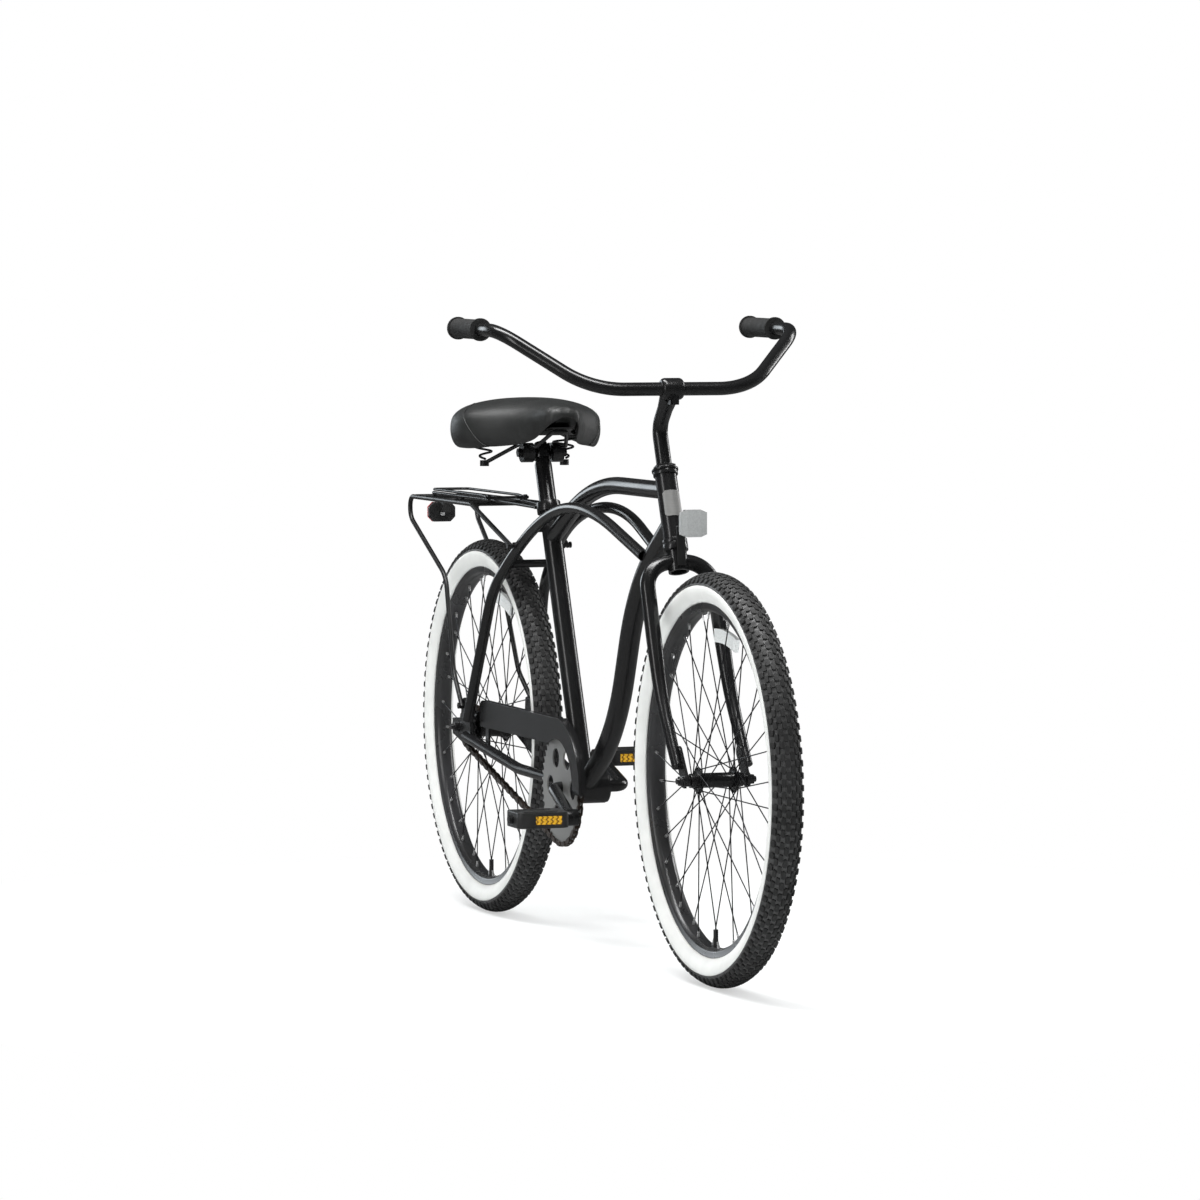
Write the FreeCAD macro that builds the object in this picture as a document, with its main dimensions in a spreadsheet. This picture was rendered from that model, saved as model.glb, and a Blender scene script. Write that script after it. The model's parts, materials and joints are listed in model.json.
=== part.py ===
import FreeCAD, Part
import math
import os
import re
from types import SimpleNamespace
from FreeCAD import Placement, Rotation, Vector

# Beach cruiser bicycle. X points forward, Y to the rider's left, Z up; the origin lies on the
# ground midway between the two axles. Lengths in millimetres, angles in degrees.

SIZES = {
    # wheels
    "wheelbase": "1140", "tyre_outer_dia": "668", "carcass_dia": "52", "tread_height": "1.5",
    "tyre_wall": "3.2", "whitewall_height": "0.5", "skin_gap": "0.05", "bead_width": "3.4", "bead_depth": "6",
    "tube_wall": "1.2", "tube_gap": "0.3", "valve_dia": "8", "valve_length": "44",
    "rim_dia": "569", "rim_depth": "14.5", "rim_width": "30", "rim_wall": "1.8", "rim_slope": "5",
    "valve_hole_gap": "0.4", "bead_gap": "0.1",
    "spoke_dia": "2", "spoke_seat_outer": "0.75", "spoke_seat_inner": "0.05", "spoke_rim_gap": "0.3",
    "spoke_rim_offset": "4", "flange_thick": "3", "spoke_hole_inset": "3.6",
    "front_flange_dia": "43", "front_flange_spacing": "60", "front_barrel_dia": "24",
    "front_hub_length": "90", "rear_flange_dia": "58", "rear_flange_spacing": "54",
    "rear_barrel_dia": "40", "rear_hub_left": "42", "rear_hub_right": "38",
    "hub_end_dia": "23", "cone_wall": "1.6", "core_gap": "0.8", "race_dia": "19", "bearing_width": "5",
    "bearing_inset": "2", "running_gap": "0.05", "side_gap": "0.3",
    "axle_dia": "9.5", "front_locknut_width": "100", "rear_locknut_width": "114",
    "locknut_dia": "15", "nut_dia": "17", "nut_height": "7", "washer_dia": "22", "washer_height": "1.8",
    "axle_end": "4", "wheel_reflector_length": "100", "wheel_reflector_depth": "22",
    "wheel_reflector_thick": "7", "wheel_reflector_y": "11", "wheel_reflector_inset": "27",
    "wheel_reflector_gap": "0.4",
    # steering
    "head_angle": "68", "fork_offset": "38", "head_tube_dia": "36", "head_tube_bore": "33.4",
    "head_tube_base": "421", "head_tube_length": "112", "cup_dia": "41", "cup_height": "7",
    "cup_floor": "2", "cup_skirt": "12", "cup_bore": "30.4", "cup_race_dia": "37",
    "steerer_dia": "28.6", "steerer_bore": "25.5", "steerer_base": "366", "steerer_top": "551",
    "crown_dia": "34", "crown_height": "36", "race_height": "4", "lock_height": "6", "lock_dia": "38",
    "upper_race_dia": "44",
    "blade_dia": "25.4", "blade_wall": "1.6", "blade_spread": "60", "shoulder_spread": "57",
    "shoulder_height": "383", "shoulder_bend": "45", "rake_height": "150", "rake_end": "26",
    "rake_reach": "31", "rake_bend": "380", "taper_height": "250", "blade_tip_dia": "18",
    "fork_tip_inner": "50", "fork_tip_thick": "5", "fork_tip_width": "24", "fork_tip_root_height": "50",
    "fork_tip_root_reach": "26", "slot_gap": "0.15",
    "quill_dia": "25.4", "quill_base": "470", "quill_corner": "618", "quill_bend": "32",
    "clamp_height": "655", "clamp_reach": "79", "bar_clamp_dia": "36",
    "bar_clamp_length": "38", "clamp_edge": "7", "stem_flare": "46", "wedge_height": "28", "clamp_slit": "3",
    "clamp_lug": "15",
    "clamp_bolt_dia": "6", "bolt_head_dia": "11", "bolt_head_height": "6",
    "bar_dia": "22.2", "bar_wall": "2", "bar_elbow_y": "138", "bar_elbow_bend": "120",
    "bar_top_x": "114.6", "bar_top_y": "260.5", "bar_top_z": "94.3", "bar_top_bend": "85",
    "bar_end_x": "321.6", "bar_end_z": "96.3",
    "grip_length": "122", "grip_dia": "33", "grip_flange_dia": "38", "grip_flange": "5", "grip_cap": "4",
    "front_reflector_height": "420", "front_reflector_reach": "86", "front_reflector_width": "46",
    "front_reflector_tall": "44", "front_reflector_thick": "9", "front_reflector_back": "4",
    "reflector_round": "9", "bracket_width": "14", "bracket_thick": "2", "bracket_rise": "8",
    "bracket_foot_height": "372", "bracket_foot_tall": "22",
    "badge_tall": "44", "badge_wide": "29", "badge_round": "5", "badge_thick": "1.4", "badge_height": "458",
    # frame tubes
    "seat_angle": "68", "seat_tube_dia": "34", "seat_tube_bore": "30.1", "seat_tube_length": "511",
    "shell_dia": "57", "shell_bore": "51.3", "shell_width": "68", "bracket_drop": "66",
    "top_tube_dia": "29", "top_tube_wall": "1.6", "top_tube_z": "455.5", "top_bend_x": "543.5",
    "top_tube_bend": "617", "top_end_z": "56.8",
    "down_tube_dia": "34.9", "down_tube_wall": "1.8", "down_head_z": "402", "down_upper_x": "370",
    "down_upper_z": "295", "down_upper_bend": "335", "down_lower_x": "668", "down_lower_z": "42",
    "down_lower_bend": "320",
    "side_tube_dia": "19", "side_tube_wall": "1.5", "side_front_x": "298", "side_front_y": "16",
    "side_front_z": "346", "side_crest_x": "550", "side_crest_y": "32", "side_crest_z": "427",
    "side_nape_x": "319", "side_nape_y": "27", "side_nape_z": "25.8", "side_arch_bend": "550",
    "side_knee_x": "150", "side_knee_y": "47", "side_knee_z": "254", "side_knee_bend": "150",
    "side_end_x": "62", "side_end_y": "65", "side_end_z": "16",
    "chain_stay_dia": "19", "chain_stay_wall": "1.5", "stay_end_x": "46", "stay_end_y": "63",
    "stay_end_z": "14", "stay_knee_x": "280", "stay_knee_y": "43", "stay_knee_z": "53",
    "stay_knee_bend": "260", "stay_root_x": "500", "stay_root_y": "20", "stay_root_z": "62",
    "dropout_thick": "6", "seat_bridge_dia": "14", "seat_bridge_x": "212",
    "chain_bridge_dia": "14", "chain_bridge_x": "380", "chain_bridge_z": "57", "chain_bridge_half": "34",
    "lug_dia": "16", "lug_x": "333", "boss_dia": "12", "boss_x": "264", "boss_reach": "13",
    "collar_dia": "42", "collar_height": "18", "collar_drop": "4", "ear_length": "20", "ear_width": "20",
    "ear_bolt_dia": "6", "ear_bolt_reach": "36",
    # drive train
    "chain_pitch": "12.7", "chain_links": "114", "ring_teeth": "48", "cog_teeth": "18", "chain_line": "42",
    "ring_thick": "3", "tooth_rise": "3.4", "tooth_tip": "1.6", "roller_dia": "7.7", "roller_gap": "0.12",
    "roller_width": "4.2", "plate_thick": "1.2", "plate_height": "8.4", "plate_gap": "0.1",
    "ring_hole_dia": "34", "ring_hole_circle": "112", "ring_bore_gap": "0.2",
    "crank_length": "168", "crank_drop": "12", "crank_dia": "20.5", "crank_root_y": "71", "ring_root_y": "58",
    "crank_eye_y": "83", "crank_bend": "18", "eye_dia": "28", "eye_width": "21.5",
    "bb_cup_lip": "4", "bb_cup_lip_dia": "55", "bb_cup_depth": "10", "bb_cup_bore": "42", "cone_dia": "36",
    "cone_width": "13", "cone_y": "27", "bb_bearing_width": "7",
    "spindle_dia": "14", "spindle_reach": "100", "pedal_gap": "3", "pedal_width": "90", "pedal_length": "70",
    "pedal_thick": "27", "pedal_round": "10", "pedal_window_width": "62", "pedal_window_length": "17",
    "pedal_window_x": "21", "pedal_reflector_length": "46", "pedal_reflector_shift": "8",
    "pedal_reflector_tall": "14", "pedal_reflector_thick": "4",
    "driver_dia": "30", "driver_bore": "18", "driver_width": "14", "cog_thick": "3",
    "guard_y": "53", "guard_thick": "1.6", "guard_flange": "13", "guard_dia": "238", "guard_inner_dia": "166",
    "guard_rear_x": "95", "guard_top_z": "54", "guard_low_z": "7", "guard_round": "14",
    "guard_front_drop": "4", "guard_bar_dia": "8", "guard_bar_z": "44.5", "guard_strap_x": "130",
    "guard_strap_width": "16", "guard_strap_thick": "4", "guard_strap_top": "26",
    "arm_y": "44", "arm_thick": "4", "arm_dia": "30", "arm_tip_dia": "15", "arm_reach": "172",
    "arm_fall": "62", "strap_dia": "23", "strap_width": "12", "strap_ear_thick": "3",
    # carrier
    "rack_dia": "8.5", "rack_front_x": "81", "rack_y": "64", "rack_z": "401",
    "rack_front_bend": "26", "rack_rear_x": "275", "rack_rear_bend": "18", "rack_drop_z": "364",
    "rack_drop_bend": "28", "rack_knee_x": "102", "rack_knee_y": "52", "rack_knee_z": "263",
    "rack_knee_bend": "70", "rack_shin_x": "28", "rack_shin_y": "61", "rack_shin_z": "94",
    "rack_shin_bend": "60", "eyelet_x": "36", "eyelet_z": "40", "eyelet_bolt_dia": "5",
    "deck_dia": "6", "deck_y": "24", "deck_front_x": "100", "deck_nose_x": "23", "deck_nose_y": "13.2",
    "deck_nose_z": "4.8", "deck_bend": "60", "cross_rear_x": "256", "cross_front_x": "74",
    "cross_mid_x": "94", "weld_gap": "0.05", "weld_bite": "0.8",
    "clip_dia": "5", "clip_y": "34", "clip_pivot_x": "90", "clip_knee_x": "50", "clip_z": "415",
    "clip_rear_x": "236", "clip_bend": "14", "clip_eye_dia": "10", "clip_eye_width": "6",
    "pivot_dia": "5", "pivot_reach": "40",
    "rear_reflector_x": "282", "rear_reflector_z": "371", "rear_reflector_width": "50",
    "rear_reflector_tall": "36", "rear_reflector_back": "9", "rear_reflector_lens": "4",
    # seat
    "post_dia": "30", "post_base": "171", "post_shoulder": "75", "post_neck": "85", "post_top": "115",
    "post_neck_dia": "22.2", "post_wall": "2", "clamp_z": "90.2", "clamp_band_dia": "32",
    "clamp_band_height": "24", "saddle_bolt_dia": "8", "saddle_bolt_reach": "44", "jaw_dia": "34",
    "jaw_inner_y": "17", "jaw_outer_y": "37",
    "rail_dia": "7", "rail_y": "27", "rail_z": "102.2", "rail_nose_x": "62", "rail_nose_y": "12",
    "rail_front_x": "14", "rail_rear_x": "84", "rail_bend": "16", "nose_bend": "8.4",
    "spring_x": "129", "spring_y": "74", "seat_bolt_dia": "16", "seat_bolt_low": "64.2",
    "seat_bolt_top": "74.2", "spring_wire": "4", "spring_low_dia": "12", "spring_top_dia": "52",
    "spring_gap": "0.3", "pan_low": "120.2", "pan_thick": "3", "pan_gap": "0.4",
    "saddle_rear_x": "204", "saddle_length": "296", "saddle_half_width": "133.5", "saddle_low_z": "98.2",
    "saddle_height": "85", "skirt": "8",
}

doc = FreeCAD.newDocument("beach_cruiser")
sheet = doc.addObject("Spreadsheet::Sheet", "Sizes")
for row, (alias, value) in enumerate(SIZES.items(), start=1):
    sheet.set(f"A{row}", alias)
    sheet.set(f"B{row}", value)
    sheet.setAlias(f"B{row}", alias)
doc.recompute()
d = SimpleNamespace(**{alias: float(sheet.get(alias)) for alias in SIZES})

ALONG_X = Vector(1, 0, 0)
ALONG_Y = Vector(0, 1, 0)
ALONG_Z = Vector(0, 0, 1)
SIDES = (-1, 1)
HALF = 0.5
NODES = {}


# helpers

def cells(text):
    """A sheet expression from a line of plain alias names."""
    return re.sub(r"[a-z][a-z0-9_]*", lambda word: "Sizes." + word.group(), text)


def bind(thing, **properties):
    for name, text in properties.items():
        thing.setExpression(name, cells(text))
    return thing


def keep(name, thing):
    thing.Label = name
    NODES[name] = thing
    return thing


def cylinder(name, dia, length, origin, axis):
    thing = doc.addObject("Part::Cylinder", name)
    bind(thing, Radius=f"({dia}) / 2", Height=length)
    thing.Placement = Placement(origin, Rotation(ALONG_Z, axis))
    return thing


def box(name, length, width, height, corner):
    thing = doc.addObject("Part::Box", name)
    bind(thing, Length=length, Width=width, Height=height)
    thing.Placement = Placement(corner, Rotation())
    return thing


def hexagon(name, across, height, origin, axis):
    thing = doc.addObject("Part::Prism", name)
    thing.Polygon = 6
    bind(thing, Circumradius=f"({across}) / 2", Height=height)
    thing.Placement = Placement(origin, Rotation(ALONG_Z, axis))
    return thing


def cut(name, base, *tools):
    for index, tool in enumerate(tools):
        thing = doc.addObject("Part::Cut", f"{name}_cut{index}")
        thing.Base = base
        thing.Tool = tool
        base = thing
    return base


def fuse(name, *things):
    thing = doc.addObject("Part::MultiFuse", name)
    thing.Shapes = list(things)
    return thing


def group(name, *things):
    thing = doc.addObject("Part::Compound", name)
    thing.Links = list(things)
    return thing


def tube(name, outer, inner, length, origin, axis):
    return cut(name, cylinder(name + "_outside", outer, length, origin, axis),
               cylinder(name + "_bore", inner, length, origin, axis))


def flat(point):
    return Vector(point[0], point[1], 0)


def outline(start, *steps):
    """Closed run of lines and arcs; a step is an end point or a (via, end) pair of points."""
    edges = []
    here = flat(start)
    for step in steps + (start,):
        if isinstance(step[0], tuple):
            via, end = flat(step[0]), flat(step[1])
            edges.append(Part.Arc(here, via, end))
            here = end
        elif (flat(step) - here).Length > 0:
            edges.append(Part.LineSegment(here, flat(step)))
            here = flat(step)
    return edges


def circle(centre, radius):
    return Part.Circle(flat(centre), ALONG_Z, radius)


def rounded(half_wide, half_tall, radius):
    """Rectangle with round corners, about the origin."""
    near = radius * (1 - math.sqrt(HALF))
    w, t, r = half_wide, half_tall, radius
    return outline((r - w, -t), (w - r, -t), ((w - near, near - t), (w, r - t)), (w, t - r),
                   ((w - near, t - near), (w - r, t)), (r - w, t), ((near - w, t - near), (-w, t - r)),
                   (-w, r - t), ((near - w, near - t), (r - w, -t)))


def drawn(name, *geometry):
    """A body with one sketch on its own XY plane."""
    body = doc.addObject("PartDesign::Body", name + "_body")
    sketch = body.newObject("Sketcher::SketchObject", name + "_sketch")
    ground = next(plane for plane in body.Origin.OriginFeatures if plane.Role == "XY_Plane")
    sketch.AttachmentSupport = [(ground, "")]
    sketch.MapMode = "FlatFace"
    for edges in geometry:
        sketch.addGeometry(edges if isinstance(edges, list) else [edges], False)
    return body, sketch


def turned(name, profile, origin, axis=ALONG_Y):
    """Profile of (radius, along) points and arcs, turned about the given axis."""
    body, sketch = drawn(name, profile)
    spin = body.newObject("PartDesign::Revolution", name + "_turn")
    spin.Profile = sketch
    spin.ReferenceAxis = (sketch, ["V_Axis"])
    spin.Angle = 360
    sketch.Visibility = False
    body.Placement = Placement(origin, Rotation(ALONG_Y, axis))
    return body


def plate(name, thickness, placement, *geometry):
    body, sketch = drawn(name, *geometry)
    pad = body.newObject("PartDesign::Pad", name + "_pad")
    pad.Profile = sketch
    bind(pad, Length=thickness)
    sketch.Visibility = False
    body.Placement = placement
    return body


def upright(y):
    """Placement for plates drawn in X and Z; the thickness grows towards the right side."""
    return Placement(Vector(0, y, 0), Rotation(ALONG_X, ALONG_Z, -ALONG_Y, "XYZ"))


BEND_SHARE = 0.99


def setbacks(points, bends):
    """Length that each bend takes from the runs beside it, limited by those runs."""
    taken = [0]
    for before, corner, after, radius in zip(points, points[1:], points[2:], bends):
        taken.append(radius / math.tan((before - corner).getAngle(after - corner) / 2))
    taken.append(0)
    for index, (start, end) in enumerate(zip(points, points[1:])):
        share = min(1, BEND_SHARE * (end - start).Length / max(taken[index] + taken[index + 1], d.skin_gap))
        taken[index] *= share
        taken[index + 1] *= share
    return taken[1:-1]


def bent(points, bends):
    """Straight runs joined by tangent arcs."""
    edges = []
    here = points[0]
    for corner, before, after, reach in zip(points[1:-1], points, points[2:], setbacks(points, bends)):
        back = (before - corner).normalize()
        on = (after - corner).normalize()
        half = back.getAngle(on) / 2
        radius = reach * math.tan(half)
        inward = (back + on).normalize()
        first, last = corner + back * reach, corner + on * reach
        via = corner + inward * (radius / math.sin(half) - radius)
        edges += [Part.LineSegment(here, first), Part.Arc(first, via, last)]
        here = last
    edges.append(Part.LineSegment(here, points[-1]))
    return Part.Wire([edge.toShape() for edge in edges])


def rod(name, dia, wire, end_dia=None):
    """Round bar along a route; with an end size it tapers towards the end of the route."""
    route = doc.addObject("Part::Feature", name + "_route")
    route.Shape = wire
    first, last = wire.OrderedEdges[0], wire.OrderedEdges[-1]
    ends = [(dia, first.valueAt(first.FirstParameter), first.tangentAt(first.FirstParameter))]
    if end_dia:
        ends.append((end_dia, last.valueAt(last.LastParameter), last.tangentAt(last.LastParameter)))
    rings = []
    for index, (across, spot, heading) in enumerate(ends):
        ring = doc.addObject("Part::Circle", f"{name}_ring{index}")
        bind(ring, Radius=f"({across}) / 2")
        ring.Placement = Placement(spot, Rotation(ALONG_Z, heading))
        rings.append(ring)
    thing = doc.addObject("Part::Sweep", name)
    thing.Sections = rings
    thing.Spine = (route, [f"Edge{index + 1}" for index in range(len(wire.Edges))])
    thing.Solid = True
    thing.Frenet = False
    return thing


def pipe(name, dia, wall, wire):
    return cut(name, rod(name + "_outside", dia, wire), rod(name + "_inside", f"{dia} - 2 * {wall}", wire))


def mirrored(x, y, z):
    return {side: Vector(x, side * y, z) for side in SIDES}


# places

wheel_radius = d.tyre_outer_dia / 2
front_axle = Vector(d.wheelbase / 2, 0, wheel_radius)
rear_axle = Vector(-d.wheelbase / 2, 0, wheel_radius)
steer = math.radians(d.head_angle)
steer_up = Vector(-math.cos(steer), 0, math.sin(steer))
steer_on = Vector(math.sin(steer), 0, math.cos(steer))
steer_foot = front_axle - steer_on * d.fork_offset
rake = math.radians(d.seat_angle)
seat_up = Vector(-math.cos(rake), 0, math.sin(rake))


def on_steer(height, reach=0, y=0):
    return steer_foot + steer_up * height + steer_on * reach + ALONG_Y * y


def steer_at(z):
    return steer_foot + steer_up * ((z - steer_foot.z) / steer_up.z)


# chain run: pitch radii of both toothed wheels and the centre distance that the link count asks for

ring_radius = d.chain_pitch / (2 * math.sin(math.pi / d.ring_teeth))
cog_radius = d.chain_pitch / (2 * math.sin(math.pi / d.cog_teeth))


def run_of(centres):
    lean = math.asin((ring_radius - cog_radius) / centres)
    straight = centres * math.cos(lean) / d.chain_pitch
    ring_part = d.ring_teeth * (HALF + lean / math.pi)
    cog_part = d.cog_teeth * (HALF - lean / math.pi)
    return lean, straight, ring_part, cog_part


def links_of(centres):
    lean, straight, ring_part, cog_part = run_of(centres)
    return 2 * straight + ring_part + cog_part


HALVINGS = 60
short, long = ring_radius + cog_radius, d.wheelbase
for halving in range(HALVINGS):
    middle = (short + long) / 2
    if links_of(middle) < d.chain_links:
        short = middle
    else:
        long = middle
centres = (short + long) / 2
crank_axis = rear_axle + Vector(math.sqrt(centres ** 2 - d.bracket_drop ** 2), 0, -d.bracket_drop)


def on_seat(length):
    return crank_axis + seat_up * length


def measured(datum, way, *aliases):
    """Turn distances from a datum into places in the shared frame."""
    for alias in aliases:
        setattr(d, alias, datum + way * getattr(d, alias))


# along the bicycle: from the rear axle forward and back, and from the front axle back
measured(rear_axle.x, 1,
        "top_bend_x", "down_lower_x", "side_nape_x", "side_knee_x", "side_end_x", "stay_end_x",
        "stay_knee_x", "stay_root_x", "seat_bridge_x", "chain_bridge_x", "lug_x", "boss_x",
        "guard_rear_x", "guard_strap_x", "rack_front_x", "eyelet_x", "deck_front_x", "cross_front_x",
        "clip_pivot_x", "clip_knee_x")
measured(rear_axle.x, -1,
        "rack_rear_x", "rack_knee_x", "rack_shin_x", "cross_rear_x", "cross_mid_x", "clip_rear_x",
        "rear_reflector_x")
measured(front_axle.x, -1, "side_front_x", "side_crest_x", "down_upper_x")
# heights: above and below the axle line
measured(wheel_radius, 1,
        "top_tube_z", "down_head_z", "down_upper_z", "down_lower_z", "side_front_z", "side_crest_z",
        "side_knee_z", "side_end_z", "guard_top_z", "guard_low_z", "guard_bar_z", "guard_strap_top",
        "rack_z", "rack_drop_z", "rack_knee_z", "rack_shin_z", "eyelet_z", "clip_z",
        "rear_reflector_z")
measured(wheel_radius, -1, "stay_end_z", "stay_knee_z", "stay_root_z", "chain_bridge_z")
# seat post, saddle and the tubes that meet the seat tube: from the top of the seat tube
seat_top = on_seat(d.seat_tube_length)
measured(d.seat_tube_length, 1, "post_shoulder", "post_neck", "post_top")
measured(d.seat_tube_length, -1, "post_base")
measured(seat_top.x, 1, "rail_nose_x", "rail_front_x")
measured(seat_top.x, -1, "rail_rear_x", "spring_x", "saddle_rear_x", "deck_nose_x")
measured(seat_top.z, 1, "clamp_z", "rail_z", "saddle_low_z", "seat_bolt_low", "seat_bolt_top", "pan_low")
measured(seat_top.z, -1, "top_end_z", "side_nape_z", "deck_nose_z")


# wheels

section_radius = d.carcass_dia / 2
section_centre = wheel_radius - d.tread_height - section_radius
rim_radius = d.rim_dia / 2
rim_inner = rim_radius - d.rim_depth
TREAD_EDGE = math.radians(30)
WHITE_HIGH = math.radians(14)
WHITE_LOW = math.radians(-54)
CROWN = math.radians(90)


def section(radius, angle, side=1):
    """Point of the tyre's section as (radius from the axle, along the axle)."""
    return (section_centre + radius * math.sin(angle), side * radius * math.cos(angle))


def tyre(name, axle):
    inner = section_radius - d.tyre_wall
    tread = section_radius + d.tread_height
    wall_y = d.rim_width / 2 - d.rim_wall - d.bead_gap
    bead_y = wall_y - d.bead_width
    bead_top = rim_radius + d.bead_gap
    bead_low = rim_radius - d.bead_depth
    seat = -math.acos((d.rim_width / 2) / section_radius)
    lip = -math.acos(bead_y / inner)
    low_side = (section(section_radius, 0, -1), section(section_radius, seat, -1))
    profile = outline(
        (bead_low, bead_y), (bead_low, wall_y), (bead_top, wall_y), section(section_radius, seat),
        (section(section_radius, 0), section(section_radius, TREAD_EDGE)), section(tread, TREAD_EDGE),
        (section(tread, CROWN), section(tread, TREAD_EDGE, -1)), section(section_radius, TREAD_EDGE, -1),
        low_side, (bead_top, -wall_y), (bead_low, -wall_y), (bead_low, -bead_y), section(inner, lip, -1),
        (section(inner, CROWN), section(inner, lip)))
    return keep(name, turned(name, profile, axle))


def whitewalls(name, axle):
    bands = []
    proud, seat = section_radius + d.whitewall_height, section_radius + d.skin_gap
    middle = (WHITE_HIGH + WHITE_LOW) / 2
    for side in SIDES:
        profile = outline(
            section(seat, WHITE_LOW, side), (section(seat, middle, side), section(seat, WHITE_HIGH, side)),
            section(proud, WHITE_HIGH, side), (section(proud, middle, side), section(proud, WHITE_LOW, side)))
        bands.append(turned(f"{name}_{side + 1}", profile, axle))
    return keep(name, group(name, *bands))


def rim(name, axle):
    edge, wall = d.rim_width / 2, d.rim_width / 2 - d.rim_wall
    flank = rim_inner + d.rim_slope
    base = wall - d.rim_slope
    body = turned(name, outline(
        (rim_radius, edge), (flank, edge), (rim_inner, base), (rim_inner, -base), (flank, -edge),
        (rim_radius, -edge), (rim_radius, -wall), (flank + d.rim_wall, -wall),
        (rim_inner + d.rim_wall, -base), (rim_inner + d.rim_wall, base), (flank + d.rim_wall, wall),
        (rim_radius, wall)), axle)
    hole = cylinder(name + "_valve_hole", "valve_dia + valve_hole_gap", "valve_length",
                    axle - ALONG_Z * rim_radius, ALONG_Z)
    return keep(name, cut(name, body, hole))


def inner_tube(name, axle):
    outer = doc.addObject("Part::Torus", name + "_outside")
    bind(outer, Radius1="tyre_outer_dia / 2 - tread_height - carcass_dia / 2",
         Radius2="carcass_dia / 2 - tyre_wall - tube_gap")
    hollow = doc.addObject("Part::Torus", name + "_hollow")
    bind(hollow, Radius1="tyre_outer_dia / 2 - tread_height - carcass_dia / 2",
         Radius2="carcass_dia / 2 - tyre_wall - tube_gap - tube_wall")
    for ring in (outer, hollow):
        ring.Placement = Placement(axle, Rotation(ALONG_Z, ALONG_Y))
    root = axle - ALONG_Z * (section_centre - section_radius + d.tyre_wall + d.tube_gap + d.tube_wall)
    shaft = cylinder(name + "_valve", "valve_dia", "valve_length", root, ALONG_Z)
    return keep(name, group(name, cut(name, outer, hollow), cut(name + "_valve", shaft, outer)))


SPOKES_A_SIDE = 18
CROSSES = 3


def spokes(name, axle, flange_dia, flange_spacing):
    lines = []
    hole = flange_dia / 2 - d.spoke_hole_inset
    step = 2 * math.pi / SPOKES_A_SIDE
    half_flange = d.flange_thick / 2 + d.spoke_dia / 2
    for side in SIDES:
        for index in range(SPOKES_A_SIDE):
            leads = 1 if index % 2 else -1
            at_rim = step * (index + (1 + side) / 4) + step / 4 - math.pi / 2
            at_hub = at_rim + leads * CROSSES * step
            stand = half_flange + d.spoke_seat_outer if leads > 0 else -half_flange - d.spoke_seat_inner
            stand_y = side * (flange_spacing / 2 + stand)
            start = Vector(hole * math.cos(at_hub), stand_y, hole * math.sin(at_hub))
            far = rim_inner - d.spoke_rim_gap
            end = Vector(far * math.cos(at_rim), side * d.spoke_rim_offset, far * math.sin(at_rim))
            lines.append(Part.makeCylinder(d.spoke_dia / 2, (end - start).Length, axle + start, end - start))
    thing = doc.addObject("Part::Feature", name)
    thing.Shape = Part.makeCompound(lines)
    return keep(name, thing)


def hub(name, axle, flange_dia, flange_spacing, barrel, left, right):
    """Turned shell with two spoke flanges, a race at each end and a bearing ring in each race."""
    high, low = flange_dia / 2, barrel / 2
    mouth = d.hub_end_dia / 2
    inner_left, outer_left = flange_spacing / 2 - d.flange_thick / 2, flange_spacing / 2 + d.flange_thick / 2
    bore, core = d.race_dia / 2, d.axle_dia / 2 + d.core_gap
    depth = d.bearing_width + d.bearing_inset
    shell = turned(name, outline(
        (bore, left), (mouth, left), (mouth, left - d.bearing_inset), (low, outer_left), (high, outer_left),
        (high, inner_left), (low, inner_left), (low, -inner_left), (high, -inner_left), (high, -outer_left),
        (low, -outer_left), (mouth, d.bearing_inset - right), (mouth, -right), (bore, -right),
        (bore, depth - right), (core, depth - right), (core, left - depth),
        (bore, left - depth)), axle)
    race = d.axle_dia / 2 + d.cone_wall + d.running_gap
    rings = []
    for end, start in ((left, left - depth), (-right, -right)):
        top = start + depth if start > 0 else depth - right
        rings.append(turned(f"{name}_bearing{len(rings)}", outline(
            (race, start + d.side_gap), (bore, start + d.side_gap), (bore, top - d.side_gap),
            (race, top - d.side_gap)), axle))
    return keep(name, group(name, shell, *rings))


def wheel_reflector(name, axle, angle, side):
    """Flat arc clipped over the spokes close to the rim."""
    outer = rim_inner - d.wheel_reflector_inset
    inner = outer - d.wheel_reflector_depth
    spread = d.wheel_reflector_length / (2 * outer)

    def at(radius, turn):
        return (radius * math.cos(angle + turn), radius * math.sin(angle + turn))

    edges = outline(at(inner, -spread), (at(inner, 0), at(inner, spread)), at(outer, spread),
                    (at(outer, 0), at(outer, -spread)))
    return plate(name, "wheel_reflector_thick", Placement(axle + ALONG_Y * side, upright(0).Rotation), edges)


def wheel(prefix, axle, flange_dia, flange_spacing, barrel, left, right, reflector_angle):
    tyre(prefix + "_tyre", axle)
    whitewalls(prefix + "_whitewalls", axle)
    rim(prefix + "_rim", axle)
    inner_tube(prefix + "_inner_tube", axle)
    laced = spokes(prefix + "_spokes", axle, flange_dia, flange_spacing)
    hub(prefix + "_hub", axle, flange_dia, flange_spacing, barrel, left, right)
    name = prefix + "_wheel_reflector"
    body = wheel_reflector(name, axle, reflector_angle, d.wheel_reflector_y)
    doc.recompute()
    slots = doc.addObject("Part::Feature", name + "_slots")
    slots.Shape = Part.makeCompound([widened(solid) for solid in laced.Shape.Solids])
    keep(name, cut(name, body, slots))


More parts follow.
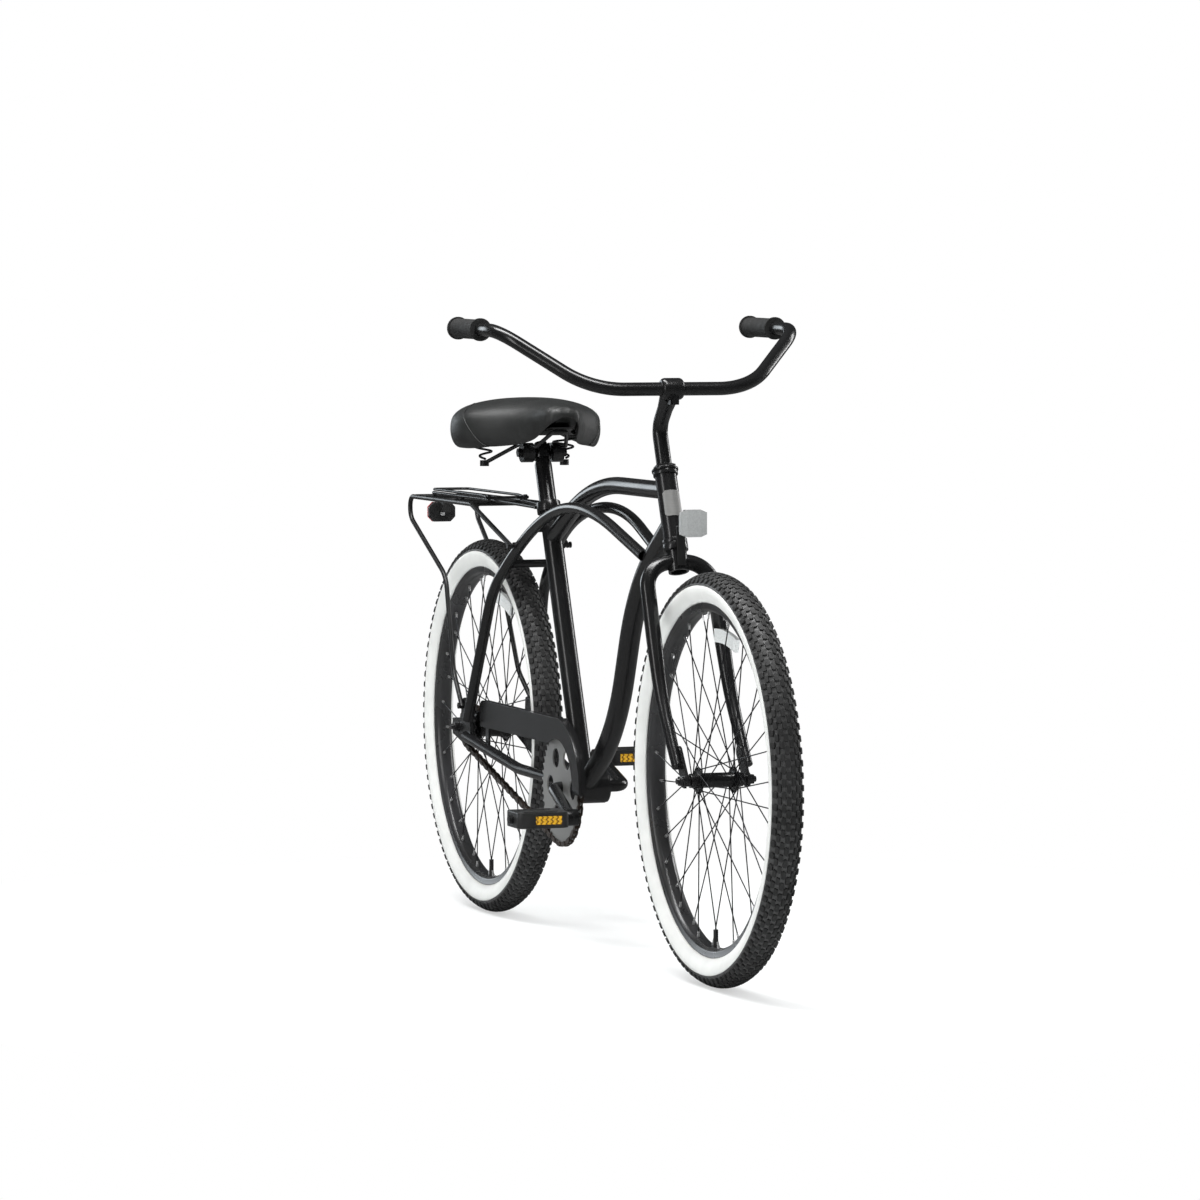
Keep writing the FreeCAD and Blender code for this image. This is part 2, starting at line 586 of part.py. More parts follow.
def widened(spoke):
    """Clearance round one spoke."""
    shaft = next(face.Surface for face in spoke.Faces if isinstance(face.Surface, Part.Cylinder))
    ends = [edge.Curve.Center for edge in spoke.Edges if isinstance(edge.Curve, Part.Circle)]
    return Part.makeCylinder(shaft.Radius + d.wheel_reflector_gap, (ends[1] - ends[0]).Length, ends[0],
                             ends[1] - ends[0])


FRONT_REFLECTOR_TURN = math.radians(83)
REAR_REFLECTOR_TURN = math.radians(78)
wheel("front", front_axle, d.front_flange_dia, d.front_flange_spacing, d.front_barrel_dia,
      d.front_hub_length / 2, d.front_hub_length / 2, FRONT_REFLECTOR_TURN)
wheel("rear", rear_axle, d.rear_flange_dia, d.rear_flange_spacing, d.rear_barrel_dia,
      d.rear_hub_left, d.rear_hub_right, REAR_REFLECTOR_TURN)


def axle_set(name, axle, width, inner_ends, plate_thick):
    """Axle with a cone and locknut, a washer and a nut on each side, as separate solids."""
    outside = width / 2 + plate_thick
    half = outside + d.washer_height + d.nut_height + d.axle_end
    pieces = [cylinder(f"{name}_shaft", "axle_dia", str(2 * half), axle - ALONG_Y * half, ALONG_Y)]
    for side, inner in zip(SIDES, inner_ends):
        axis = ALONG_Y * side
        inside = (inner - d.bearing_width - d.bearing_inset)
        cone = turned(f"{name}_cone{side + 1}", outline(
            (d.axle_dia / 2, inside), (d.axle_dia / 2 + d.cone_wall, inside),
            (d.axle_dia / 2 + d.cone_wall, inner + d.side_gap), (d.locknut_dia / 2, inner + d.side_gap),
            (d.locknut_dia / 2, width / 2), (d.axle_dia / 2, width / 2)), axle, axis)
        washer = tube(f"{name}_washer{side + 1}", "washer_dia", "axle_dia", "washer_height",
                      axle + axis * outside, axis)
        seat = axle + axis * (outside + d.washer_height)
        nut = cut(f"{name}_nut{side + 1}",
                  hexagon(f"{name}_nut_hex{side + 1}", "nut_dia", "nut_height", seat, axis),
                  cylinder(f"{name}_nut_hole{side + 1}", "axle_dia", "nut_height", seat, axis))
        pieces += [cone, washer, nut]
    return keep(name, group(name, *pieces))


axle_set("front_axle", front_axle, d.front_locknut_width, (d.front_hub_length / 2,) * 2, d.fork_tip_thick)
driver_end = d.rear_hub_right + d.side_gap + d.driver_width
axle_set("rear_axle", rear_axle, d.rear_locknut_width, (driver_end, d.arm_y + d.arm_thick - d.side_gap),
         d.dropout_thick)

# frame tubes

head_base = on_steer(d.head_tube_base)
head_outside = cylinder("head_outside", "head_tube_dia", "head_tube_length", head_base, steer_up)
keep("head_tube", cut("head_tube", head_outside,
                      cylinder("head_bore", "head_tube_bore", "head_tube_length", head_base, steer_up)))
shell_start = crank_axis - ALONG_Y * (d.shell_width / 2)
shell_outside = cylinder("shell_outside", "shell_dia", "shell_width", shell_start, ALONG_Y)
keep("bottom_bracket_shell", cut("bottom_bracket_shell", shell_outside,
                                 cylinder("shell_bore", "shell_bore", "shell_width", shell_start, ALONG_Y)))
seat_outside = cylinder("seat_outside", "seat_tube_dia", "seat_tube_length", crank_axis, seat_up)
keep("seat_tube", cut("seat_tube", seat_outside, shell_outside,
                      cylinder("seat_bore", "seat_tube_bore", "seat_tube_length", crank_axis, seat_up)))

top_end = on_seat((d.top_end_z - crank_axis.z) / seat_up.z)
top_route = bent([steer_at(d.top_tube_z), Vector(d.top_bend_x, 0, d.top_tube_z), top_end], [d.top_tube_bend])
keep("top_tube", cut("top_tube", pipe("top_pipe", "top_tube_dia", "top_tube_wall", top_route),
                     head_outside, seat_outside))
down_route = bent([steer_at(d.down_head_z), Vector(d.down_upper_x, 0, d.down_upper_z),
                   Vector(d.down_lower_x, 0, d.down_lower_z), crank_axis],
                  [d.down_upper_bend, d.down_lower_bend])
down_outside = rod("down_outside", "down_tube_dia", down_route)
keep("down_tube", cut("down_tube", down_outside,
                      rod("down_inside", "down_tube_dia - 2 * down_tube_wall", down_route),
                      head_outside, shell_outside, seat_outside))

dropout_inner = d.rear_locknut_width / 2
DROPOUT_SHARES = ((0.74, 0.04), (0.62, 0.38), (0.37, 0.56), (0.22, 0.52), (0.18, 0.18), (-0.32, 0.14))
DROPOUT_LOW_SHARES = ((-0.30, -0.15), (0.30, -0.28), (0.70, -0.24))
DROPOUT_SHARE = 0.85
dropout_size = d.rear_locknut_width * DROPOUT_SHARE
slot_half = d.axle_dia / 2 + d.slot_gap


def dropout(name, y):
    """Plate that carries the axle in a slot open to the rear, with an eyelet for the carrier."""
    shares = [(rear_axle.x + across * dropout_size, rear_axle.z + up * dropout_size)
              for across, up in DROPOUT_SHARES]
    low = [(rear_axle.x + across * dropout_size, rear_axle.z + up * dropout_size)
           for across, up in DROPOUT_LOW_SHARES]
    mouth = shares[-1][0]
    inside = rear_axle.x + slot_half
    edges = outline(shares[0], *shares[1:], (mouth, rear_axle.z + slot_half),
                    (inside, rear_axle.z + slot_half),
                    ((inside + slot_half, rear_axle.z), (inside, rear_axle.z - slot_half)),
                    (mouth, rear_axle.z - slot_half), *low)
    return plate(name, "dropout_thick", upright(y), edges,
                 circle((d.eyelet_x, d.eyelet_z), d.eyelet_bolt_dia / 2))


dropouts = {-1: dropout("dropout_right", -dropout_inner),
            1: dropout("dropout_left", dropout_inner + d.dropout_thick)}
keep("rear_dropouts", group("rear_dropouts", *dropouts.values()))

side_front = mirrored(d.side_front_x, d.side_front_y, d.side_front_z)
side_crest = mirrored(d.side_crest_x, d.side_crest_y, d.side_crest_z)
side_nape = mirrored(d.side_nape_x, d.side_nape_y, d.side_nape_z)
side_knee = mirrored(d.side_knee_x, d.side_knee_y, d.side_knee_z)
side_end = mirrored(d.side_end_x, d.side_end_y, d.side_end_z)
stay_end = mirrored(d.stay_end_x, d.stay_end_y, d.stay_end_z)
stay_knee = mirrored(d.stay_knee_x, d.stay_knee_y, d.stay_knee_z)
stay_root = mirrored(d.stay_root_x, d.stay_root_y, d.stay_root_z)
side_outside, stay_outside, side_tubes, chain_stays, side_route = {}, {}, [], [], {}
for side in SIDES:
    route = bent([side_front[side], side_crest[side], side_nape[side], side_knee[side], side_end[side]],
                 [d.side_arch_bend, d.side_arch_bend, d.side_knee_bend])
    side_route[side] = route
    side_outside[side] = rod(f"side_outside{side + 1}", "side_tube_dia", route)
    side_tubes.append(cut(f"side_tube{side + 1}", side_outside[side],
                          rod(f"side_inside{side + 1}", "side_tube_dia - 2 * side_tube_wall", route),
                          down_outside, dropouts[side]))
    route = bent([stay_end[side], stay_knee[side], stay_root[side]], [d.stay_knee_bend])
    stay_outside[side] = rod(f"stay_outside{side + 1}", "chain_stay_dia", route)
    chain_stays.append(cut(f"chain_stay{side + 1}", stay_outside[side],
                           rod(f"stay_inside{side + 1}", "chain_stay_dia - 2 * chain_stay_wall", route),
                           shell_outside, seat_outside, dropouts[side]))
keep("side_tubes", group("side_tubes", *side_tubes))
keep("chain_stays", group("chain_stays", *chain_stays))

ROUTE_STEPS = 2000


def on_route(wire, x):
    """Point of a bent route at a place along the bicycle."""
    return min(wire.discretize(ROUTE_STEPS), key=lambda point: abs(point.x - x))


bridge_at, lug_at, boss_at = (on_route(side_route[1], x) for x in (d.seat_bridge_x, d.lug_x, d.boss_x))
seat_bridge = cut("seat_bridge", cylinder("seat_bridge_bar", "seat_bridge_dia", str(2 * bridge_at.y),
                                          Vector(bridge_at.x, -bridge_at.y, bridge_at.z), ALONG_Y),
                  *side_outside.values())
chain_bridge = cut("chain_bridge", cylinder("chain_bridge_bar", "chain_bridge_dia", "2 * chain_bridge_half",
                                            Vector(d.chain_bridge_x, -d.chain_bridge_half, d.chain_bridge_z),
                                            ALONG_Y), *stay_outside.values())
lugs = cut("lugs", cylinder("lug_bar", "lug_dia", str(2 * lug_at.y), Vector(lug_at.x, -lug_at.y, lug_at.z),
                            ALONG_Y), seat_outside, *side_outside.values())
boss_end = boss_at.y + d.boss_reach
foot_y = boss_end + d.rack_dia / 2 + d.weld_gap
foot_spots = mirrored(boss_at.x, boss_at.y, boss_at.z)
foot_bolt_length = str(foot_y - boss_at.y - d.side_tube_dia / 2 + d.rack_dia / 2)
rack_bolts = [cylinder(f"foot_bolt{side + 1}", "eyelet_bolt_dia", foot_bolt_length,
                       foot_spots[side] + ALONG_Y * (side * d.side_tube_dia / 2), ALONG_Y * side)
              for side in SIDES]
bosses = [cut(f"boss{side + 1}", cylinder(f"boss_bar{side + 1}", "boss_dia", "boss_reach", foot_spots[side],
                                          ALONG_Y * side), side_outside[side],
              cylinder(f"boss_hole{side + 1}", "eyelet_bolt_dia + 2 * running_gap", "2 * boss_reach",
                       foot_spots[side], ALONG_Y * side)) for side in SIDES]
keep("stay_bridges", group("stay_bridges", seat_bridge, chain_bridge, lugs, *bosses))

# head badge, bearings

badge_at = on_steer(d.badge_height)
badge_shell = tube("badge_shell", "head_tube_dia + 2 * badge_thick", "head_tube_dia", "badge_tall", badge_at,
                   steer_up)
badge_face = plate("badge_face", "head_tube_dia", Placement(
    badge_at + steer_up * (d.badge_tall / 2), Rotation(ALONG_Y, steer_up, steer_on, "XYZ")),
    rounded(d.badge_wide / 2, d.badge_tall / 2, d.badge_round))
badge = doc.addObject("Part::Common", "head_badge")
badge.Base = badge_shell
badge.Tool = badge_face
keep("head_badge", badge)


def headset_cup(name, origin, axis):
    skirt, lip, hollow = d.head_tube_bore / 2, d.cup_dia / 2, d.cup_race_dia / 2
    inner = d.cup_bore / 2
    return turned(name, outline((inner, -d.cup_skirt), (skirt, -d.cup_skirt), (skirt, 0), (lip, 0),
                                (lip, d.cup_height), (hollow, d.cup_height), (hollow, d.cup_floor),
                                (inner, d.cup_floor)), origin, axis)


def headset_bearing(name, origin, axis):
    outer, inner = d.cup_race_dia / 2, d.cup_bore / 2
    return turned(name, outline((inner, d.cup_floor), (outer, d.cup_floor), (outer, d.cup_height),
                                (inner, d.cup_height)), origin, axis)


def bracket_cup(name, origin, axis):
    shell, lip, inner = d.shell_bore / 2, d.bb_cup_lip_dia / 2, d.bb_cup_bore / 2
    return turned(name, outline((inner, -d.bb_cup_depth), (shell, -d.bb_cup_depth), (shell, 0), (lip, 0),
                                (lip, d.bb_cup_lip), (inner, d.bb_cup_lip)), origin, axis)


head_ends = ((on_steer(d.head_tube_base), -steer_up),
             (on_steer(d.head_tube_base + d.head_tube_length), steer_up))
shell_ends = tuple((crank_axis + ALONG_Y * (side * d.shell_width / 2), ALONG_Y * side) for side in SIDES)
head_cups = [headset_cup(f"head_cup{index}", *end) for index, end in enumerate(head_ends)]
bracket_cups = [bracket_cup(f"bracket_cup{index}", *end) for index, end in enumerate(shell_ends)]
keep("bearing_cups", group("bearing_cups", *head_cups, *bracket_cups))
bracket_rings = [tube(f"bracket_ring{index}", "bb_cup_bore", "cone_dia + 2 * running_gap", "bb_bearing_width",
                      end - axis * d.bb_cup_depth, axis) for index, (end, axis) in enumerate(shell_ends)]
head_rings = [headset_bearing(f"head_ring{index}", *end) for index, end in enumerate(head_ends)]
keep("bearing_rings", group("bearing_rings", *head_rings, *bracket_rings))

# fork

steerer_start = on_steer(d.steerer_base)
steerer_bar = cylinder("steerer_bar", "steerer_dia", "steerer_top - steerer_base", steerer_start, steer_up)
crown_bar = cylinder("crown_bar", "crown_dia", "crown_height", steerer_start, steer_up)
steerer_bore = cylinder("steerer_bore", "steerer_bore", "steerer_top - steerer_base", steerer_start, steer_up)
keep("fork_steerer", cut("fork_steerer", fuse("steerer_solid", steerer_bar, crown_bar), steerer_bore))


def fork_tip(name, y):
    """Rounded tab with the axle slot open at its lower end."""
    root = Vector(d.fork_tip_root_reach, d.fork_tip_root_height, 0)
    axle = Vector(d.fork_offset, 0, 0)
    along = (root - axle).normalize()
    out = Vector(along.y, -along.x, 0)
    half = d.fork_tip_width / 2
    down = Vector(0, -1, 0)
    wide = Vector(1, 0, 0)

    def spot(point):
        return (point.x, point.y)

    slot = slot_half
    lower = math.sqrt(half ** 2 - slot ** 2)
    edges = outline(
        spot(axle + out * half), spot(root + out * half),
        (spot(root + along * half), spot(root - out * half)), spot(axle - out * half),
        (spot(axle + (down - wide).normalize() * half), spot(axle + down * lower - wide * slot)),
        spot(axle - wide * slot),
        (spot(axle - down * slot), spot(axle + wide * slot)), spot(axle + down * lower + wide * slot),
        (spot(axle + (down + wide).normalize() * half), spot(axle + out * half)))
    placement = Placement(steer_foot + ALONG_Y * y, Rotation(steer_on, steer_up, -ALONG_Y, "XYZ"))
    return plate(name, "fork_tip_thick", placement, edges)


blades = []
for side, y in ((-1, -d.fork_tip_inner), (1, d.fork_tip_inner + d.fork_tip_thick)):
    tip = fork_tip(f"fork_tip{side + 1}", y)
    shoulder = on_steer(d.shoulder_height, 0, side * d.shoulder_spread)
    knee = on_steer(d.rake_height, 0, side * d.blade_spread)
    taper_share = (d.shoulder_height - d.taper_height) / (d.shoulder_height - d.rake_height)
    taper_at = shoulder + (knee - shoulder) * taper_share
    upper_route = bent([on_steer(d.shoulder_height), shoulder, taper_at], [d.shoulder_bend])
    foot = on_steer(d.rake_end, d.rake_reach, side * d.blade_spread)
    lower_route = bent([taper_at, knee, foot], [d.rake_bend])
    upper = pipe(f"blade_pipe{side + 1}", "blade_dia", "blade_wall", upper_route)
    lower = rod(f"blade_taper{side + 1}", "blade_dia", lower_route, "blade_tip_dia")
    blade = fuse(f"blade_full{side + 1}", upper, lower)
    blades += [cut(f"blade{side + 1}", blade, crown_bar, tip), tip]
keep("fork_blades", group("fork_blades", *blades))

crown_top = d.steerer_base + d.crown_height
crown_race = tube("crown_race", "cup_dia", "steerer_dia",
                  "head_tube_base - cup_height - side_gap - steerer_base - crown_height",
                  on_steer(crown_top), steer_up)
upper_base = d.head_tube_base + d.head_tube_length + d.cup_height + d.side_gap
upper_race = tube("upper_race", "upper_race_dia", "steerer_dia", "race_height", on_steer(upper_base),
                  steer_up)
lock_base = on_steer(upper_base + d.race_height)
locknut = cut("locknut", hexagon("lock_hex", "lock_dia", "lock_height", lock_base, steer_up),
              cylinder("lock_bore", "steerer_dia", "lock_height", lock_base, steer_up))
keep("headset_races", group("headset_races", crown_race, upper_race, locknut))

reflector_at = on_steer(d.front_reflector_height, d.front_reflector_reach)


def reflector_block(name, thick, placement, half_wide, half_tall):
    """Rectangle with its corners cut off, padded."""
    w, t, r = half_wide, half_tall, d.reflector_round
    edges = outline((r - w, -t), (w - r, -t), (w, r - t), (w, t - r), (w - r, t), (r - w, t), (-w, t - r),
                    (-w, r - t))
    return plate(name, thick, placement, edges)


facing = Rotation(ALONG_Y, ALONG_Z, ALONG_X, "XYZ")
lens_start = reflector_at + ALONG_X * d.front_reflector_back
keep("front_reflector_lens", reflector_block(
    "front_reflector_lens", "front_reflector_thick",
    Placement(lens_start, facing), d.front_reflector_width / 2, d.front_reflector_tall / 2))
reflector_back = reflector_block(
    "front_reflector_back", "front_reflector_back",
    Placement(reflector_at, facing), d.front_reflector_width / 2, d.front_reflector_tall / 2)
foot = on_steer(d.bracket_foot_height, d.crown_dia / 2)
foot_top = foot + steer_up * d.bracket_foot_tall
thick = d.bracket_thick
shelf = reflector_at.z - d.bracket_rise
strip = outline((foot.x, foot.z), (foot.x + thick, foot.z), (foot_top.x + thick, shelf),
                (reflector_at.x - thick, shelf), (reflector_at.x - thick, reflector_at.z - thick),
                (reflector_at.x, reflector_at.z - thick), (reflector_at.x, reflector_at.z + d.bracket_rise),
                (reflector_at.x - 2 * thick, reflector_at.z + d.bracket_rise),
                (reflector_at.x - 2 * thick, shelf + thick), (foot_top.x, shelf + thick))
bracket_strip = plate("front_bracket_strip", "bracket_width", upright(d.bracket_width / 2), strip)
keep("front_reflector_bracket", group("front_reflector_bracket", reflector_back,
                                      cut("front_bracket", bracket_strip, crown_bar)))

# stem, handlebar

clamp_at = on_steer(d.clamp_height, d.clamp_reach)
stem_route = bent([on_steer(d.quill_base), on_steer(d.quill_corner), clamp_at], [d.quill_bend])
clamp_start = clamp_at - ALONG_Y * (d.bar_clamp_length / 2)
barrel, barrel_end, edge = d.bar_clamp_dia / 2, d.bar_clamp_length / 2, d.clamp_edge
edge_near = edge * (1 - math.sqrt(HALF))
clamp_collar = turned("clamp_collar", outline(
    (0, -barrel_end), (barrel - edge, -barrel_end),
    ((barrel - edge_near, edge_near - barrel_end), (barrel, edge - barrel_end)), (barrel, barrel_end - edge),
    ((barrel - edge_near, barrel_end - edge_near), (barrel - edge, barrel_end)), (0, barrel_end)), clamp_at)
stem_neck = doc.addObject("Part::Cone", "stem_neck")
bind(stem_neck, Radius1="bar_clamp_length / 2 - clamp_edge / 4", Radius2="quill_dia / 2", Height="stem_flare")
stem_neck.Placement = Placement(clamp_at, Rotation(ALONG_Z, on_steer(d.quill_corner) - clamp_at))
bar_space = cylinder("bar_space", "bar_dia + 2 * running_gap", "bar_clamp_length", clamp_start, ALONG_Y)
lug_start = clamp_at + Vector(-d.clamp_lug, -d.clamp_lug / 2, -d.bar_clamp_dia / 2 - d.clamp_lug / 2)
clamp_lug = box("clamp_lug", "2 * clamp_lug", "clamp_lug", "bar_clamp_dia / 2", lug_start)
slit = box("clamp_slit", "clamp_slit", "bar_clamp_length", "bar_clamp_dia",
           clamp_at + Vector(-d.clamp_slit / 2, -d.bar_clamp_length / 2, -d.bar_clamp_dia))
bolt_start = Vector(lug_start.x, 0, lug_start.z + d.clamp_lug / 2 - d.clamp_slit / 2)
pinch_hole = cylinder("pinch_hole", "clamp_bolt_dia", "2 * clamp_lug", bolt_start, ALONG_X)
stem_metal = cut("stem_metal", fuse(
    "stem_solid", rod("stem_bar", "quill_dia", stem_route), stem_neck, clamp_collar, clamp_lug),
                 bar_space, slit, pinch_hole)
draw_bolt_hole = cylinder("draw_bolt_hole", "bolt_head_dia", "quill_corner - quill_base",
                          on_steer(d.quill_base), steer_up)
wedge_start = on_steer(d.quill_base - d.wedge_height)
wedge_bar = cylinder("wedge_bar", "quill_dia", "wedge_height", wedge_start, steer_up)
pinch_bolt = cylinder("pinch_bolt", "clamp_bolt_dia", "2 * clamp_lug", bolt_start, ALONG_X)
pinch_head = cylinder("pinch_head", "bolt_head_dia", "bolt_head_height",
                      bolt_start + ALONG_X * (2 * d.clamp_lug), ALONG_X)
keep("stem", group("stem", cut("stem", stem_metal, draw_bolt_hole), wedge_bar,
                   fuse("stem_pinch_bolt", pinch_bolt, pinch_head)))

measured(clamp_at.x, -1, "bar_top_x", "bar_end_x")
measured(clamp_at.z, 1, "bar_top_z", "bar_end_z")
elbow = mirrored(clamp_at.x, d.bar_elbow_y, clamp_at.z)
bar_top = mirrored(d.bar_top_x, d.bar_top_y, d.bar_top_z)
bar_end = mirrored(d.bar_end_x, d.bar_top_y, d.bar_end_z)
bar_route = bent([bar_end[-1], bar_top[-1], elbow[-1], elbow[1], bar_top[1], bar_end[1]],
                 [d.bar_top_bend, d.bar_elbow_bend, d.bar_elbow_bend, d.bar_top_bend])
keep("handlebar", pipe("handlebar", "bar_dia", "bar_wall", bar_route))
grips = []
for side in SIDES:
    axis = (bar_top[side] - bar_end[side]).normalize()
    hole, low, high = d.bar_dia / 2, d.grip_dia / 2, d.grip_flange_dia / 2
    grips.append(turned(f"grip{side + 1}", outline(
        (0, -d.grip_cap), (high, -d.grip_cap), (high, d.grip_flange - d.grip_cap),
        (low, d.grip_flange - d.grip_cap), (low, d.grip_length - d.grip_cap - d.grip_flange),
        (high, d.grip_length - d.grip_cap - d.grip_flange), (high, d.grip_length - d.grip_cap),
        (hole, d.grip_length - d.grip_cap), (hole, 0), (0, 0)), bar_end[side], axis))
keep("grips", group("grips", *grips))

# crank, chainring, cog, chain

arm = math.radians(d.crank_drop)
arm_on = Vector(math.cos(arm), 0, -math.sin(arm))
eye = {side: crank_axis - arm_on * (side * d.crank_length) + ALONG_Y * (side * d.crank_eye_y)
       for side in SIDES}
root = {-1: crank_axis - ALONG_Y * d.ring_root_y, 1: crank_axis + ALONG_Y * d.crank_root_y}
crank_bar = rod("crank_bar", "crank_dia", bent([eye[-1], root[-1], root[1], eye[1]], [d.crank_bend] * 2))
eyes = [cylinder(f"eye{side + 1}", "eye_dia", "eye_width", eye[side] - ALONG_Y * (side * d.eye_width / 2),
                 ALONG_Y * side) for side in SIDES]
eye_holes = [cylinder(f"eye_hole{side + 1}", "spindle_dia", "eye_width",
                      eye[side] - ALONG_Y * (side * d.eye_width / 2), ALONG_Y * side) for side in SIDES]
keep("crank", cut("crank", fuse("crank_solid", crank_bar, *eyes), *eye_holes))

ROOT_SPREAD = math.radians(76)


def toothed(teeth, pitch_radius, first):
    """Outline of a chain wheel: a roller seat at each pitch and a tooth between."""
    step = 2 * math.pi / teeth
    seat = d.roller_dia / 2 + d.roller_gap
    tip = pitch_radius + d.tooth_rise
    tip_half = d.tooth_tip / (2 * tip)
    steps, start = [], None
    for index in range(int(teeth)):
        angle = first + index * step
        out = Vector(math.cos(angle), math.sin(angle), 0)
        on = Vector(-math.sin(angle), math.cos(angle), 0)
        centre = out * pitch_radius
        begin = centre - out * (seat * math.cos(ROOT_SPREAD)) - on * (seat * math.sin(ROOT_SPREAD))
        deep = centre - out * seat
        end = centre - out * (seat * math.cos(ROOT_SPREAD)) + on * (seat * math.sin(ROOT_SPREAD))
        if start is None:
            start = (begin.x, begin.y)
        else:
            steps.append((begin.x, begin.y))
        steps.append(((deep.x, deep.y), (end.x, end.y)))
        for turn in (step / 2 - tip_half, step / 2 + tip_half):
            steps.append((tip * math.cos(angle + turn), tip * math.sin(angle + turn)))
    return outline(start, *steps)


lean, straight, ring_part, cog_part = run_of(centres)
line_angle = math.atan2(d.bracket_drop, -(crank_axis.x - rear_axle.x))
ring_lead = line_angle - math.pi / 2 + lean


def chain_pin(count):
    """Point of the chain run in X and Z, counted in pitches from where the chain leaves the ring above."""
    if count <= straight:
        start, end = chain_pin_ring(0), chain_pin_cog(0)
        return start + (end - start) * (count / straight)
    count -= straight
    if count <= cog_part:
        return chain_pin_cog(count)
    count -= cog_part
    if count <= straight:
        start, end = chain_pin_cog(cog_part), chain_pin_ring(-ring_part)
        return start + (end - start) * (count / straight)
    return chain_pin_ring(count - straight - ring_part)


def wheel_point(centre, radius, angle):
    return centre + Vector(radius * math.cos(angle), 0, radius * math.sin(angle))


def chain_pin_ring(count):
    return wheel_point(crank_axis, ring_radius, ring_lead + count * 2 * math.pi / d.ring_teeth)


def chain_pin_cog(count):
    return wheel_point(rear_axle, cog_radius, ring_lead + count * 2 * math.pi / d.cog_teeth)


pins = [chain_pin(float(index)) for index in range(int(d.chain_links))]
first_on_cog = math.ceil(straight) - straight
cog_lead = ring_lead + first_on_cog * 2 * math.pi / d.cog_teeth

RING_HOLES = 6
ring_face = upright(-d.chain_line + d.ring_thick / 2)
ring_holes = []
for index in range(RING_HOLES):
    turn, reach = 2 * math.pi * index / RING_HOLES, d.ring_hole_circle / 2
    ring_holes.append(circle((reach * math.cos(turn), reach * math.sin(turn)), d.ring_hole_dia / 2))
keep("chainring", plate(
    "chainring", "ring_thick", Placement(crank_axis + ring_face.Base, ring_face.Rotation),
    toothed(d.ring_teeth, ring_radius, ring_lead), *ring_holes,
    circle((0, 0), d.crank_dia / 2 + d.ring_bore_gap)))
cog_face = upright(-d.chain_line + d.cog_thick / 2)
cog_plate = plate("cog_plate", "cog_thick", Placement(rear_axle + cog_face.Base, cog_face.Rotation),
                  toothed(d.cog_teeth, cog_radius, cog_lead), circle((0, 0), d.driver_bore / 2))
driver = tube("driver", "driver_dia", "driver_bore", "driver_width",
              rear_axle - ALONG_Y * (d.rear_hub_right + d.side_gap), -ALONG_Y)
keep("rear_cog", fuse("rear_cog", cog_plate, driver))

ROLLER_SIDES = 6


def link_plate(first, second, inner_y):
    """Flat six-cornered plate round two pins."""
    on = (second - first).normalize()
    up = on.cross(ALONG_Y)
    end, half = d.plate_height / 2, d.plate_height / 2
    low = ALONG_Y * inner_y
    corners = [first - on * end, first + up * half, second + up * half, second + on * end,
               second - up * half, first - up * half]
    corners = [corner + low for corner in corners]
    face = Part.Face(Part.makePolygon(corners + corners[:1]))
    return face.extrude(ALONG_Y * (d.plate_thick * (1 if inner_y > -d.chain_line else -1)))


def roller(pin):
    """Six-sided barrel between the plates."""
    start = pin - ALONG_Y * (d.chain_line + d.roller_width / 2)
    spots = [wheel_point(start, d.roller_dia / 2, 2 * math.pi * turn / ROLLER_SIDES)
             for turn in range(ROLLER_SIDES)]
    return Part.Face(Part.makePolygon(spots + spots[:1])).extrude(ALONG_Y * d.roller_width)


links = []
for index, pin in enumerate(pins):
    following = pins[(index + 1) % len(pins)]
    reach = d.roller_width / 2 + d.plate_gap + (index % 2) * (d.plate_thick + d.plate_gap)
    for side in SIDES:
        links.append(link_plate(pin, following, -d.chain_line + side * reach))
    links.append(roller(pin))
chain = doc.addObject("Part::Feature", "chain")
chain.Shape = Part.makeCompound(links)
keep("chain", chain)

cones = [tube(f"crank_cone{side + 1}", "cone_dia", "crank_dia", "cone_width",
              crank_axis + ALONG_Y * (side * d.cone_y), ALONG_Y * side) for side in SIDES]
spindles = [cylinder(f"spindle{side + 1}", "spindle_dia", "spindle_reach + eye_width",
                     eye[side] - ALONG_Y * (side * d.eye_width / 2), ALONG_Y * side) for side in SIDES]
keep("crank_hardware", group("crank_hardware", *cones, *spindles))

# pedals

